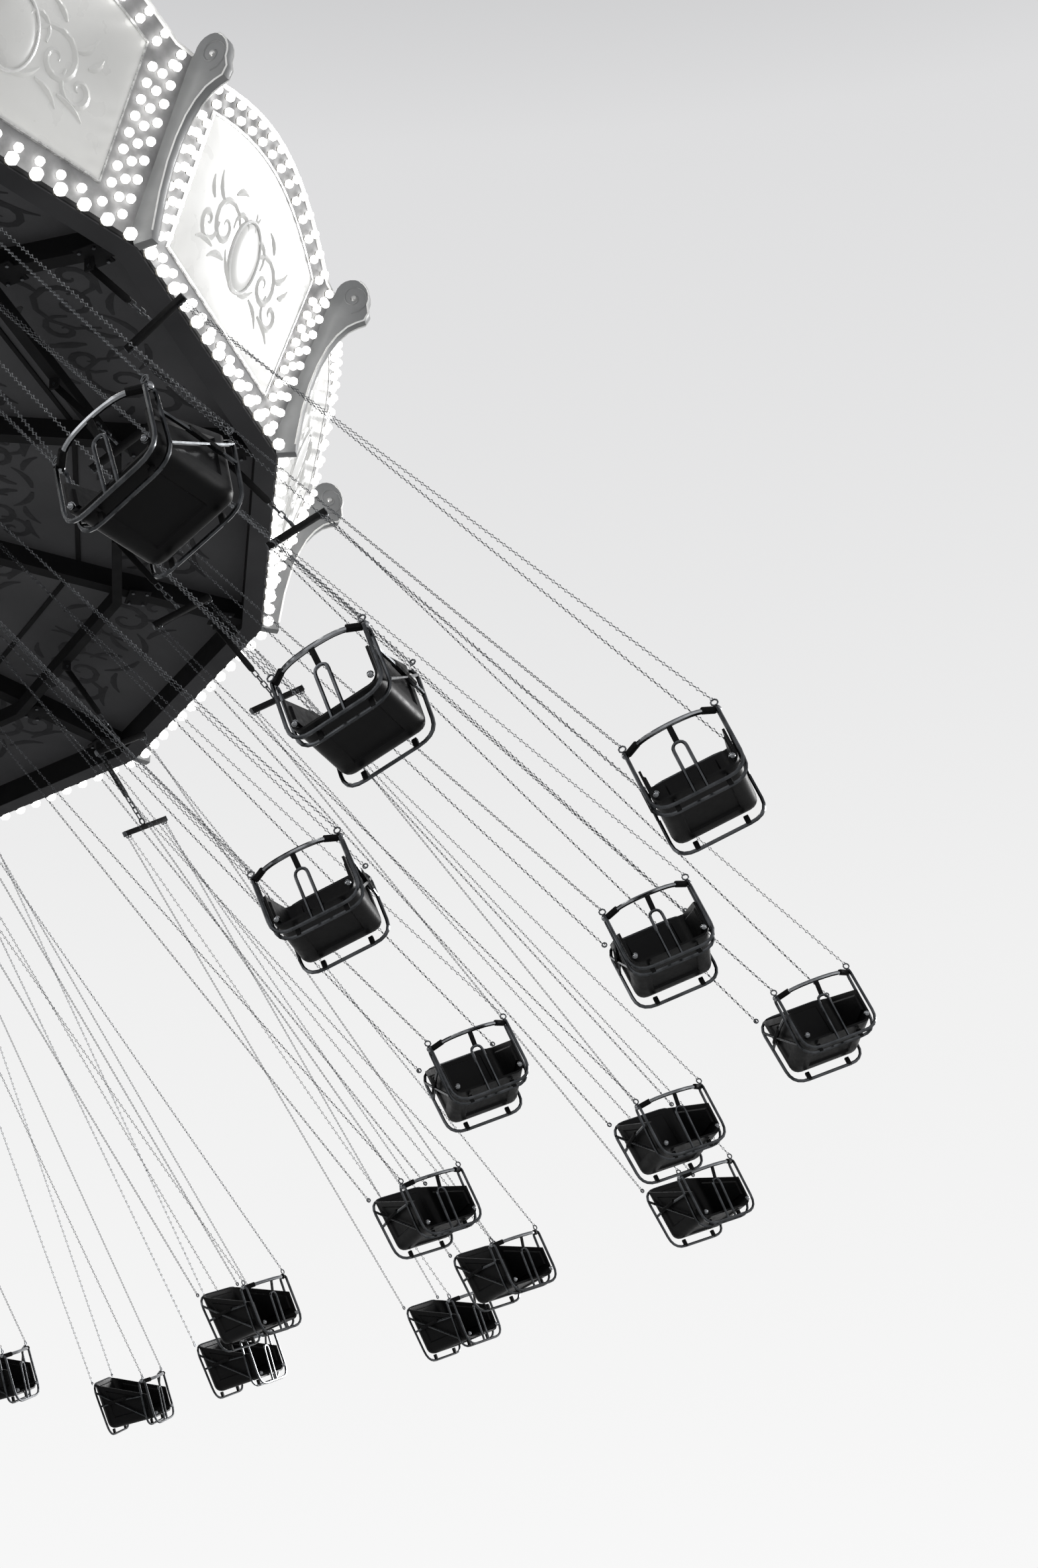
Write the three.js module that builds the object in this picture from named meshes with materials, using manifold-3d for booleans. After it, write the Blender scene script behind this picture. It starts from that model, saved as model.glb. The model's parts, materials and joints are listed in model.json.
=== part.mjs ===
// Chair swing ride: a sixteen-sided crown that turns and lifts on a central mast, with three rings of
// chairs on chains, all shown flung outwards as in flight.
// Units are millimetres, +Z is up, and the origin is on the ground at the centre of the ride.
import * as THREE from "three";
import { mergeVertices } from "three/addons/utils/BufferGeometryUtils.js";
import Module from "manifold-3d";

const wasm = await Module();
wasm.setup();

// Driving dimensions of the whole ride
const SIDES = 16;
const SECTOR = (2 * Math.PI) / SIDES;
const HALF_SECTOR = SECTOR / 2;
const RIM_HEIGHT = 10900;
const CROWN_RADIUS = 6000;
const CLEARANCE = 0.4;
const FLING_ANGLE = THREE.MathUtils.degToRad(39);

// Fixed base
const PLINTH = { radius: 2500, height: 300, chamfer: 60 };
const HOUSING = {
  radius: 1950,
  top: 2700,
  skirting: 110,
  skirtingHeight: 420,
  corniceOut: 180,
  corniceHeight: 200,
};
const TOWER = { outer: 640, inner: 545, top: 6000, collarOut: 740, collarHeight: 260 };

// Lifting mast
const MAST = { radius: 500, bottom: 4700, flangeRadius: 760, flangeDrop: 180, flangeThickness: 110 };

// Crown frame
const CEILING_SLOPE = 0.1636;
const SWEEP = { width: 100, depth: 140, outerEnd: 5930, innerEnd: 760, rimLift: 30 };
const HUB = { radius: 690, bottomDrop: MAST.flangeDrop - 0.5, top: 2350, skirtRadius: 800, skirtHeight: 220 };
const HUB_RING = { inner: HUB.radius + CLEARANCE, outer: 900, bottom: 840, top: 1060 };
const FASCIA = { foot: CROWN_RADIUS - 60, lean: 0.383, height: 1200, thickness: 50 };
const CREST = { halfWidth: 1100, rise: 280, foot: 30, recess: 2, steps: 8 };
const RIM_BEAM = { outer: CROWN_RADIUS, ledge: 50, inner: 5850, top: 190 };
const CEILING = { thickness: 30, innerRadius: 1270, ridgeGap: 2.2 };
const DRUM = { bottomRadius: 990, topRadius: 1270, bottomDrop: 1650, thickness: 45 };
const ROOF = { eaveHeight: 860, innerRadius: HUB.radius + CLEARANCE, ridgeHeight: 2260, thickness: 40 };

// Corner brackets: side outline as distances out from the crown's corner and up from the rim
const BRACKET = {
  thickness: 75,
  outline: [
    [-95, 8],
    [120, 2],
    [135, 120],
    [222, 500],
    [345, 775],
    [480, 925],
    [600, 962],
    [632, 1040],
    [612, 1170],
    [555, 1268],
    [480, 1305],
    [410, 1280],
    [365, 1190],
  ],
};

// Roof lantern with its finial
const LANTERN = [
  [0, 2350.5],
  [640, 2350.5],
  [640, 2460],
  [560, 2500],
  [560, 2900],
  [740, 3020],
  [740, 3090],
  [600, 3200],
  [330, 3420],
  [130, 3560],
  [70, 3620],
  [70, 3700],
  [190, 3790],
  [190, 3880],
  [70, 3980],
  [35, 4040],
  [0, 4330],
];

// Rings of chairs: where the chains hang from the crown, and how long they are down to the seat
const RINGS = [
  { name: "outer", radius: 5670, pivotHeight: 0, length: 5450, halfStep: true },
  { name: "middle", radius: 4855, pivotHeight: 50, length: 5600, halfStep: false },
  { name: "inner", radius: 3490, pivotHeight: 100, length: 5770, halfStep: true },
];
const HANGING_RING = { width: 70, bottom: 92 };
const LUG = { thickness: 16, width: 60, below: 30 };

// One chair, hanging straight down from its pivot, facing -Y before its small twist
const HANGER = { thickness: 14, width: 44, top: 25, sideGap: 0.5 };
const SPREADER = { drop: 690, length: 440, size: 40, roll: THREE.MathUtils.degToRad(8) };
const CHAIN = { radius: 11 };
const SEAT = {
  twist: THREE.MathUtils.degToRad(12),
  roll: THREE.MathUtils.degToRad(18),
  width: 490,
  wall: 34,
  innerBack: 170,
  profile: [
    [-240, -80],
    [215, -80],
    [262, 400],
    [205, 400],
    [185, 190],
    [-200, 190],
    [-190, 320],
    [-225, 320],
  ],
};
const LAP_BAR = { height: 300, endY: -205, bow: 75, tube: 26, knee: 130 };

// The two chains of each side: where they leave the spreader (x) and reach the seat (y, z)
const CHAIN_ENDS = [
  { spread: 180, y: -207, z: 308 },
  { spread: 206, y: 236, z: 385 },
];

// Finishes
const FINISH = {
  plinth: { color: 0x6f7072, roughness: 0.7, metalness: 0.1 },
  panel: { color: 0xd8d8d6, roughness: 0.45, metalness: 0 },
  steel: { color: 0x4b4c4f, roughness: 0.5, metalness: 0.4 },
  ceiling: { color: 0x2d2e31, roughness: 0.75, metalness: 0 },
  fascia: { color: 0xf1f0ec, roughness: 0.35, metalness: 0 },
  roof: { color: 0xb9babb, roughness: 0.5, metalness: 0 },
  chair: { color: 0x17181a, roughness: 0.4, metalness: 0.2 },
};

// A material from one of the finishes
function finish(name) {
  return new THREE.MeshStandardMaterial(FINISH[name]);
}

// A geometry as a solid that can be joined or cut
function solid(geometry) {
  const bare = geometry.index ? geometry.toNonIndexed() : geometry.clone();
  bare.deleteAttribute("normal");
  bare.deleteAttribute("uv");
  const merged = mergeVertices(bare, 1e-3);
  return new wasm.Manifold(
    new wasm.Mesh({
      numProp: 3,
      vertProperties: merged.attributes.position.array,
      triVerts: new Uint32Array(merged.index.array),
    }),
  );
}

// A joined solid as a geometry
function geometryOf(joined) {
  const mesh = joined.getMesh();
  const geometry = new THREE.BufferGeometry();
  geometry.setAttribute("position", new THREE.BufferAttribute(new Float32Array(mesh.vertProperties), 3));
  geometry.setIndex(new THREE.BufferAttribute(new Uint32Array(mesh.triVerts), 1));
  const flat = geometry.toNonIndexed();
  flat.computeVertexNormals();
  return flat;
}

// One body from many touching or crossing geometries
function joinAll(geometries) {
  return geometryOf(geometries.map(solid).reduce((whole, piece) => whole.add(piece)));
}

// A sixteen-sided body turned from a closed profile of [radius, height] points
function turned(profile) {
  const points = profile.map(([radius, height]) => new THREE.Vector2(radius, height));
  if (points[0].x > 0) points.push(points[0].clone());
  const geometry = new THREE.LatheGeometry(points, SIDES, HALF_SECTOR);
  return geometry.rotateX(Math.PI / 2);
}

// A plate of the given outline in the XZ plane, centred on y = 0
function plateXZ(outline, thickness) {
  const shape = new THREE.Shape(outline.map(([x, z]) => new THREE.Vector2(x, z)));
  const geometry = new THREE.ExtrudeGeometry(shape, { depth: thickness, bevelEnabled: false });
  return geometry.rotateX(Math.PI / 2).translate(0, thickness / 2, 0);
}

// A box between two corners
function block(x0, x1, y0, y1, z0, z1) {
  const geometry = new THREE.BoxGeometry(x1 - x0, y1 - y0, z1 - z0);
  return geometry.translate((x0 + x1) / 2, (y0 + y1) / 2, (z0 + z1) / 2);
}

// A plate of the given outline in the YZ plane, centred on x = 0
function plateYZ(outline, thickness) {
  const shape = new THREE.Shape(outline.map(([y, z]) => new THREE.Vector2(y, z)));
  const geometry = new THREE.ExtrudeGeometry(shape, { depth: thickness, bevelEnabled: false });
  return geometry
    .rotateX(Math.PI / 2)
    .rotateZ(Math.PI / 2)
    .translate(-thickness / 2, 0, 0);
}

// A three-sided rod between two points, as thick as a chain
function rod(start, end, radius) {
  const direction = end.clone().sub(start);
  const geometry = new THREE.CylinderGeometry(radius, radius, direction.length(), 3);
  const turn = new THREE.Quaternion().setFromUnitVectors(new THREE.Vector3(0, 1, 0), direction.normalize());
  const middle = start.clone().add(end).multiplyScalar(0.5);
  return geometry.applyQuaternion(turn).translate(middle.x, middle.y, middle.z);
}

// Sixteen copies of a geometry round the axis, from the first angle on
function around(geometry, firstAngle) {
  return Array.from({ length: SIDES }, (_, i) => geometry.clone().rotateZ(firstAngle + i * SECTOR));
}

// Height above the rim of the underside of a sweep at a radius
function sweepBottom(radius) {
  return SWEEP.rimLift + CEILING_SLOPE * (SWEEP.outerEnd - radius);
}

// Base plinth on the ground
function plinth() {
  const { radius, height, chamfer } = PLINTH;
  return turned([
    [0, 0],
    [radius, 0],
    [radius, height - chamfer],
    [radius - chamfer, height],
    [0, height],
  ]);
}

// Machine housing round the foot of the tower, with a skirting and a cornice
function housing() {
  const bottom = PLINTH.height + CLEARANCE;
  const { radius, top, skirting, skirtingHeight, corniceOut, corniceHeight } = HOUSING;
  const inner = TOWER.outer + CLEARANCE;
  const corniceStart = top - 2 * corniceHeight;
  return turned([
    [inner, bottom],
    [radius + skirting, bottom],
    [radius + skirting, bottom + skirtingHeight],
    [radius, bottom + skirtingHeight + skirting / 2],
    [radius, corniceStart],
    [radius + corniceOut, corniceStart + corniceHeight],
    [radius + corniceOut, top],
    [inner, top],
  ]);
}

// Hollow tower with a guide collar at its top
function tower() {
  const bottom = PLINTH.height + CLEARANCE;
  const { outer, inner, top, collarOut, collarHeight } = TOWER;
  const collarBottom = top - collarHeight;
  const guide = MAST.radius + CLEARANCE;
  return turned([
    [inner, bottom],
    [outer, bottom],
    [outer, collarBottom - (collarOut - outer)],
    [collarOut, collarBottom],
    [collarOut, top],
    [guide, top],
    [guide, collarBottom],
    [inner, collarBottom - (inner - guide)],
  ]);
}

// Lifting mast with the flange that carries the crown
function mast() {
  const { radius, bottom, flangeRadius, flangeDrop, flangeThickness } = MAST;
  const top = RIM_HEIGHT - flangeDrop;
  return turned([
    [0, bottom],
    [radius, bottom],
    [radius, top - flangeThickness - (flangeRadius - radius)],
    [flangeRadius, top - flangeThickness],
    [flangeRadius, top],
    [0, top],
  ]);
}

// Slewing hub at the heart of the crown
function hub() {
  const { radius, bottomDrop, top, skirtRadius, skirtHeight } = HUB;
  return turned([
    [0, -bottomDrop],
    [skirtRadius, -bottomDrop],
    [skirtRadius, -bottomDrop + skirtHeight],
    [radius, -bottomDrop + skirtHeight + skirtRadius - radius],
    [radius, top],
    [0, top],
  ]);
}

// One sloping sweep, drawn along +X
function sweep() {
  const { innerEnd, outerEnd, depth, width } = SWEEP;
  return plateXZ(
    [
      [innerEnd, sweepBottom(innerEnd)],
      [outerEnd, sweepBottom(outerEnd)],
      [outerEnd, sweepBottom(outerEnd) + depth],
      [innerEnd, sweepBottom(innerEnd) + depth],
    ],
    width,
  );
}

// The lug that a chair hangs from, drawn along +X
function lug(ring, top) {
  const halfWidth = LUG.width / 2;
  return block(
    ring.radius - halfWidth,
    ring.radius + halfWidth,
    -LUG.thickness / 2,
    LUG.thickness / 2,
    ring.pivotHeight - LUG.below,
    top,
  );
}

// Sweeps, hub ring and the lugs of the outer and inner chairs as one welded star
function sweepStar() {
  const { inner, outer, bottom, top } = HUB_RING;
  const hubRing = turned([
    [inner, bottom],
    [outer, bottom],
    [outer, top],
    [inner, top],
  ]);
  const pieces = [hubRing, ...around(sweep(), HALF_SECTOR)];
  for (const ring of [RINGS[0], RINGS[2]]) {
    const lugTop = sweepBottom(ring.radius) + SWEEP.depth / 2;
    pieces.push(...around(lug(ring, lugTop), HALF_SECTOR));
  }
  const reach = RIM_BEAM.inner - CLEARANCE;
  const insideRim = turned([
    [0, -RIM_HEIGHT],
    [reach, -RIM_HEIGHT],
    [reach, RIM_HEIGHT],
    [0, RIM_HEIGHT],
  ]);
  return geometryOf(solid(joinAll(pieces)).intersect(solid(insideRim)));
}

// Ring under the sweeps with the lugs of the middle chairs, which hang between two sweeps
function hangingRing() {
  const middle = RINGS[1];
  const { width, bottom } = HANGING_RING;
  const centre = middle.radius / Math.cos(HALF_SECTOR);
  const inner = centre - width / 2;
  const outer = centre + width / 2;
  const band = turned([
    [inner, bottom],
    [outer, bottom],
    [outer, sweepBottom(outer) - CLEARANCE],
    [inner, sweepBottom(inner) - CLEARANCE],
  ]);
  return joinAll([band, ...around(lug(middle, bottom + width / 2), 0)]);
}

// Ceiling boards that lie on the sweeps
function ceiling() {
  const { thickness, innerRadius, ridgeGap } = CEILING;
  const outerRadius = RIM_BEAM.inner - CLEARANCE;
  const under = (radius) => sweepBottom(radius) + SWEEP.depth + ridgeGap;
  return turned([
    [innerRadius, under(innerRadius)],
    [outerRadius, under(outerRadius)],
    [outerRadius, under(outerRadius) + thickness],
    [innerRadius, under(innerRadius) + thickness],
  ]);
}

// Flared drum that hangs from the sweeps round the mast
function drum() {
  const { bottomRadius, topRadius, bottomDrop, thickness } = DRUM;
  const top = sweepBottom(topRadius) - CLEARANCE;
  return turned([
    [bottomRadius - thickness, -bottomDrop],
    [bottomRadius, -bottomDrop],
    [topRadius, top],
    [topRadius - thickness, top],
  ]);
}

// The arched crest of one rounding board, as thick as the board less a recess on each face
function crest() {
  const { halfWidth, rise, foot, recess, steps } = CREST;
  const toSide = Math.cos(HALF_SECTOR);
  const slope = Math.atan(FASCIA.lean * toSide);
  const depth = FASCIA.thickness * toSide * Math.cos(slope) - 2 * recess;
  const arch = Array.from({ length: steps + 1 }, (_, i) => {
    const across = halfWidth * (1 - (2 * i) / steps);
    return [across, rise * Math.cos((across / halfWidth) * (Math.PI / 2))];
  });
  const outline = [[-halfWidth, -foot], [halfWidth, -foot], ...arch];
  const top = (FASCIA.foot + FASCIA.lean * FASCIA.height) * toSide;
  return plateYZ(outline, depth)
    .translate(-depth / 2 - recess, 0, 0)
    .rotateY(slope)
    .translate(top, 0, FASCIA.height);
}

// Leaning rounding boards behind the ledge of their rim beam, with a crest on every board and a bracket on every corner
function roundingBoards() {
  const { foot, lean, height, thickness } = FASCIA;
  const innerFoot = foot - thickness;
  const boards = turned([
    [innerFoot, 0],
    [foot, 0],
    [foot + lean * height, height],
    [innerFoot + lean * height, height],
  ]);
  const inWall = foot - thickness / 4;
  const beam = turned([
    [RIM_BEAM.inner, 0],
    [RIM_BEAM.outer, 0],
    [RIM_BEAM.outer, RIM_BEAM.ledge],
    [inWall, RIM_BEAM.ledge + thickness / 4],
    [innerFoot + lean * RIM_BEAM.top + thickness / 4, RIM_BEAM.top],
    [RIM_BEAM.inner, RIM_BEAM.top],
  ]);
  const outline = BRACKET.outline.map(([out, up]) => [CROWN_RADIUS + out, up]);
  const brackets = around(plateXZ(outline, BRACKET.thickness), HALF_SECTOR);
  return joinAll([boards, beam, ...around(crest(), 0), ...brackets]);
}

// Low sixteen-sided roof from the boards up to the hub
function roof() {
  const { eaveHeight, innerRadius, ridgeHeight, thickness } = ROOF;
  const eaveRadius = FASCIA.foot - FASCIA.thickness + FASCIA.lean * eaveHeight - CLEARANCE;
  return turned([
    [eaveRadius - thickness, eaveHeight - thickness],
    [eaveRadius, eaveHeight],
    [innerRadius, ridgeHeight],
    [innerRadius, ridgeHeight - thickness],
  ]);
}

// Bucket of a chair: pan, back and two sides, each side with a post up its front corner
function seatShell() {
  const { width, wall, innerBack, profile } = SEAT;
  const halfInside = width / 2 - wall;
  const hollow = block(-halfInside, halfInside, -width, innerBack, 0, width);
  return solid(plateYZ(profile, width)).subtract(solid(hollow));
}

// Bowed bar across the rider's lap, from post to post
function lapBar() {
  const { height, endY, bow, tube, knee } = LAP_BAR;
  const end = (SEAT.width - SEAT.wall) / 2;
  const outline = [
    [-end, endY],
    [-knee, endY - bow],
    [knee, endY - bow],
    [end, endY],
    [end, endY + tube],
    [knee, endY - bow + tube],
    [-knee, endY - bow + tube],
    [-end, endY + tube],
  ];
  const shape = new THREE.Shape(outline.map(([x, y]) => new THREE.Vector2(x, y)));
  const geometry = new THREE.ExtrudeGeometry(shape, { depth: tube, bevelEnabled: false });
  return solid(geometry.translate(0, 0, height - tube / 2));
}

// Where a chair's seat stands under its pivot, with the small twist and roll of flight
function seatPlace(length) {
  const place = new THREE.Matrix4().makeTranslation(0, 0, -length);
  place.multiply(new THREE.Matrix4().makeRotationZ(SEAT.twist));
  return place.multiply(new THREE.Matrix4().makeRotationY(SEAT.roll));
}

// Hanger, spreader, four chains and seat of one chair as one body
function chair(length) {
  const { thickness, width, top, sideGap } = HANGER;
  const { drop, size, roll } = SPREADER;
  const face = LUG.thickness / 2 + sideGap;
  const middle = face + thickness / 2;
  const spreaderPlace = new THREE.Matrix4().makeTranslation(0, middle, -drop);
  spreaderPlace.multiply(new THREE.Matrix4().makeRotationY(roll));
  const halfSpreader = SPREADER.length / 2;
  const spreader = block(-halfSpreader, halfSpreader, -size / 2, size / 2, -size / 2, size / 2);
  const hanger = block(-width / 2, width / 2, face, face + thickness, -drop, top);

  const place = seatPlace(length);
  const seat = seatShell().add(lapBar()).transform(place.elements);
  let whole = seat.add(solid(hanger)).add(solid(spreader.applyMatrix4(spreaderPlace)));
  const seatSide = (SEAT.width - SEAT.wall) / 2;
  for (const side of [-1, 1]) {
    for (const { spread, y, z } of CHAIN_ENDS) {
      const start = new THREE.Vector3(side * spread, 0, 0).applyMatrix4(spreaderPlace);
      const end = new THREE.Vector3(side * seatSide, y, z).applyMatrix4(place);
      whole = whole.add(solid(rod(start, end, CHAIN.radius)));
    }
  }
  return geometryOf(whole);
}

// A named mesh
function part(name, geometry, finishName) {
  const mesh = new THREE.Mesh(geometry, finish(finishName));
  mesh.name = name;
  return mesh;
}

// All chairs of one ring, flung outwards
function chairRing(ring) {
  const group = new THREE.Group();
  const geometry = chair(ring.length);
  for (let i = 0; i < SIDES; i += 1) {
    const sector = new THREE.Group();
    sector.rotation.z = i * SECTOR + (ring.halfStep ? HALF_SECTOR : 0);
    const name = `chair_${ring.name}_${String(i + 1).padStart(2, "0")}`;
    const mesh = part(name, geometry, "chair");
    mesh.position.set(ring.radius, 0, ring.pivotHeight);
    mesh.rotation.y = -FLING_ANGLE;
    sector.add(mesh);
    group.add(sector);
  }
  return group;
}

// Everything that turns, measured from the rim
function crown() {
  const group = new THREE.Group();
  group.position.z = RIM_HEIGHT;
  group.add(
    part("slewing_hub", hub(), "steel"),
    part("sweep_frame", sweepStar(), "steel"),
    part("hanging_ring", hangingRing(), "steel"),
    part("ceiling_panels", ceiling(), "ceiling"),
    part("centre_drum", drum(), "panel"),
    part("rounding_boards", roundingBoards(), "fascia"),
    part("roof_panels", roof(), "roof"),
    part("roof_lantern", turned(LANTERN), "panel"),
    ...RINGS.map(chairRing),
  );
  return group;
}

const ride = new THREE.Group();
ride.add(
  part("base_plinth", plinth(), "plinth"),
  part("machine_housing", housing(), "panel"),
  part("tower", tower(), "steel"),
  part("lift_mast", mast(), "steel"),
  crown(),
);

export default ride;
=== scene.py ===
"""Chair swing ride in flight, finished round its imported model.

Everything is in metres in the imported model's frame: +Z is up and the origin is on the ground under the mast.
The crown's trim, its bulbs and painted scrolls, the mast and base, and every chair with its link chains are
built here.
"""

from __future__ import annotations

import json
import logging
import math
from dataclasses import dataclass
from enum import Enum
from typing import Sequence

import bmesh
import bpy
from mathutils import Matrix, Vector

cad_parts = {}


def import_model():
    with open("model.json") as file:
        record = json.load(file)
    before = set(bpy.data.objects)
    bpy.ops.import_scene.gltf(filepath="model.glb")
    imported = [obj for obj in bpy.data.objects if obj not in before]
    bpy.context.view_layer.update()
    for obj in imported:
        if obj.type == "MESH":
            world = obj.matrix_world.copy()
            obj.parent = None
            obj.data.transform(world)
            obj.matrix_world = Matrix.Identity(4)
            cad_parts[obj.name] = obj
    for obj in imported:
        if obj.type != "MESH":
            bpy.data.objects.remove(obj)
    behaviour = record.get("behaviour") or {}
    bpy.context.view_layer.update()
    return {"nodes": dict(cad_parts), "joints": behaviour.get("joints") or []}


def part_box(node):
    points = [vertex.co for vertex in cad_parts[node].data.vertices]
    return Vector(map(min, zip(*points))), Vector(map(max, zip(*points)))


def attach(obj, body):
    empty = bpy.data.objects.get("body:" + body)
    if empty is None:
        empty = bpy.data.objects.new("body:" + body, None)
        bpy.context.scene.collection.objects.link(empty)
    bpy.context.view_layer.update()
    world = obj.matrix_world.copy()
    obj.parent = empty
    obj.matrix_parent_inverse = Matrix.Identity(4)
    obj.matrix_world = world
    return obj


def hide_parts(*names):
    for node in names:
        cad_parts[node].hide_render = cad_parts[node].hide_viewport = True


LOG = logging.getLogger("swing_ride")
MM = 0.001
SIDES = 16
SECTOR = 2 * math.pi / SIDES
# How far the chairs lean out from plumb in flight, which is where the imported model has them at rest
FLING = math.radians(39)
# Vertices closer than this are one
MERGE_DISTANCE = 1e-6
# Edges that turn by more than this stay crisp
CREASE = math.radians(40)
# A noise texture rarely leaves this span, so it is stretched from here to the full range
NOISE_SPAN = {"From Min": 0.3, "From Max": 0.7}

Point = tuple[float, float, float]
Flat = tuple[float, float]
Margins = tuple[float, float, float]
Shape = bmesh.types.BMesh
Socket = bpy.types.NodeSocket


# Places


def shift(x: float, y: float, z: float) -> Matrix:
    """Return a move along X, Y and Z."""
    return Matrix.Translation((x, y, z))


def turn(angle: float, axis: str = "Z") -> Matrix:
    """Return a turn by an angle in radians about an axis through the origin."""
    return Matrix.Rotation(angle, 4, axis)


def apothem(radius: float) -> float:
    """Return the distance from the axis to the middle of a side whose corners have that radius."""
    return radius * math.cos(SECTOR / 2)


def half_side(radius: float) -> float:
    """Return half the length of a side whose corners have that radius."""
    return radius * math.sin(SECTOR / 2)


def spaced(start: float, end: float, steps: int) -> list[float]:
    """Return evenly spaced values from start to end."""
    return [start + (end - start) * i / steps for i in range(steps + 1)]


# From the middle of a side to the corner beside it
CORNER = turn(SECTOR / 2)
# Stands a flat plate up, with its outline's Y along Z
UPRIGHT = turn(math.pi / 2, "X")


# Colours and nodes


def linear(hex_colour: str) -> tuple[float, float, float, float]:
    """Turn an sRGB hex colour into a linear one.

    Args:
        hex_colour: Six hex digits.

    Returns:
        Linear red, green, blue and an alpha of 1.
    """
    channels = [int(hex_colour[i : i + 2], 16) / 255 for i in (0, 2, 4)]
    red, green, blue = (c / 12.92 if c <= 0.04045 else ((c + 0.055) / 1.055) ** 2.4 for c in channels)
    return red, green, blue, 1.0


def add_node(
    tree: bpy.types.NodeTree,
    kind: str,
    settings: dict[str, object] | None = None,
    inputs: dict[str, object] | None = None,
) -> bpy.types.Node:
    """Add a node with its settings, input values and links.

    Args:
        tree: The node tree to add to.
        kind: The node's type name.
        settings: Attributes of the node.
        inputs: Input sockets by name: a value, or another node's output socket to link from.

    Returns:
        The new node.
    """
    node = tree.nodes.new(kind)
    for name, value in (settings or {}).items():
        setattr(node, name, value)
    for name, value in (inputs or {}).items():
        if isinstance(value, Socket):
            tree.links.new(value, node.inputs[name])
        else:
            node.inputs[name].default_value = value
    return node


class Surface(Enum):
    """How a finish's fine relief runs: the texture, its output, its detail and its scale along X, Y and Z."""

    SPRAYED = ("ShaderNodeTexNoise", "Fac", 2.0, (1.0, 1.0, 1.0))
    BRUSHED = ("ShaderNodeTexNoise", "Fac", 2.0, (1.0, 1.0, 0.04))
    GRAINED = ("ShaderNodeTexNoise", "Fac", 2.0, (1.0, 0.06, 1.0))
    SPANGLED = ("ShaderNodeTexVoronoi", "Distance", 0.0, (1.0, 1.0, 1.0))


@dataclass(frozen=True)
class Finish:
    """One finish: two close colours in soft clouds, uneven gloss and a fine relief.

    Sizes are in millimetres: cloud_mm is how broad the colour patches are, grain_mm the spacing of the relief
    and relief_mm its height. The orange peel of real paint is a millimetre or two apart and wouldn't show on a
    ride of this size, so it is drawn some millimetres apart.
    """

    name: str
    colour: str
    shade: str
    roughness: float
    metallic: float = 0.0
    coat: float = 0.0
    specular: float = 0.5
    cloud_mm: float = 600.0
    grain_mm: float = 4.0
    relief_mm: float = 0.05
    surface: Surface = Surface.SPRAYED
    glow: float = 0.0

    def material(self) -> bpy.types.Material:
        """Make this finish's material, or find it again.

        Returns:
            The material.
        """
        known = bpy.data.materials.get(self.name)
        if known:
            return known
        made = bpy.data.materials.new(self.name)
        made.use_nodes = True
        tree = made.node_tree
        tree.nodes.clear()
        place = add_node(tree, "ShaderNodeTexCoord").outputs["Object"]
        inputs = {
            "Base Color": linear(self.colour) if self.colour == self.shade else self._clouds(tree, place),
            "Roughness": self._gloss(tree, place),
            "Metallic": self.metallic,
            "Coat Weight": self.coat,
            "Specular IOR Level": self.specular,
        }
        if self.relief_mm:
            inputs["Normal"] = self._relief(tree, place)
        # Emission: the bulbs' own light, and on the rounding boards' enamel a painted glow
        if self.glow:
            inputs |= {"Emission Color": linear(self.colour), "Emission Strength": self.glow}
        shader = add_node(tree, "ShaderNodeBsdfPrincipled", inputs=inputs)
        add_node(tree, "ShaderNodeOutputMaterial", inputs={"Surface": shader.outputs["BSDF"]})
        made.diffuse_color = linear(self.colour)
        return made

    def _clouds(self, tree: bpy.types.NodeTree, place: Socket) -> Socket:
        """Mix the two colours in soft patches as wide as cloud_mm.

        Args:
            tree: The material's nodes.
            place: The object's own coordinates.

        Returns:
            The colour.
        """
        noise = add_node(
            tree,
            "ShaderNodeTexNoise",
            inputs={"Vector": place, "Scale": 1 / (self.cloud_mm * MM), "Detail": 5.0, "Roughness": 0.6},
        )
        spans = {"Value": noise.outputs["Fac"], **NOISE_SPAN}
        patches = add_node(tree, "ShaderNodeMapRange", {"clamp": True}, spans)
        ramp = add_node(tree, "ShaderNodeValToRGB", inputs={"Fac": patches.outputs["Result"]})
        for stop, colour in zip(ramp.color_ramp.elements, (self.shade, self.colour)):
            stop.color = linear(colour)
        return ramp.outputs["Color"]

    def _gloss(self, tree: bpy.types.NodeTree, place: Socket) -> Socket:
        """Let the roughness wander by a sixth, as on handled and weathered surfaces.

        Args:
            tree: The material's nodes.
            place: The object's own coordinates.

        Returns:
            The roughness.
        """
        smears = add_node(
            tree,
            "ShaderNodeTexNoise",
            inputs={"Vector": place, "Scale": 4 / (self.cloud_mm * MM), "Detail": 3.0},
        )
        spread = self.roughness / 6
        limits = {"To Min": self.roughness - spread, "To Max": min(self.roughness + spread, 1.0)}
        spans = {"Value": smears.outputs["Fac"], **NOISE_SPAN, **limits}
        return add_node(tree, "ShaderNodeMapRange", {"clamp": True}, spans).outputs["Result"]

    def _relief(self, tree: bpy.types.NodeTree, place: Socket) -> Socket:
        """Give the surface its orange peel, brush lines, wood grain or zinc spangle.

        Args:
            tree: The material's nodes.
            place: The object's own coordinates.

        Returns:
            The normal.
        """
        texture, output, detail, scale = self.surface.value
        mapped = add_node(tree, "ShaderNodeMapping", inputs={"Vector": place, "Scale": scale}).outputs["Vector"]
        pattern = {"Vector": mapped, "Scale": 1 / (self.grain_mm * MM), "Detail": detail}
        height = add_node(tree, texture, inputs=pattern).outputs[output]
        bump = {"Height": height, "Strength": 0.6, "Distance": self.relief_mm * MM}
        return add_node(tree, "ShaderNodeBump", inputs=bump).outputs["Normal"]


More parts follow.
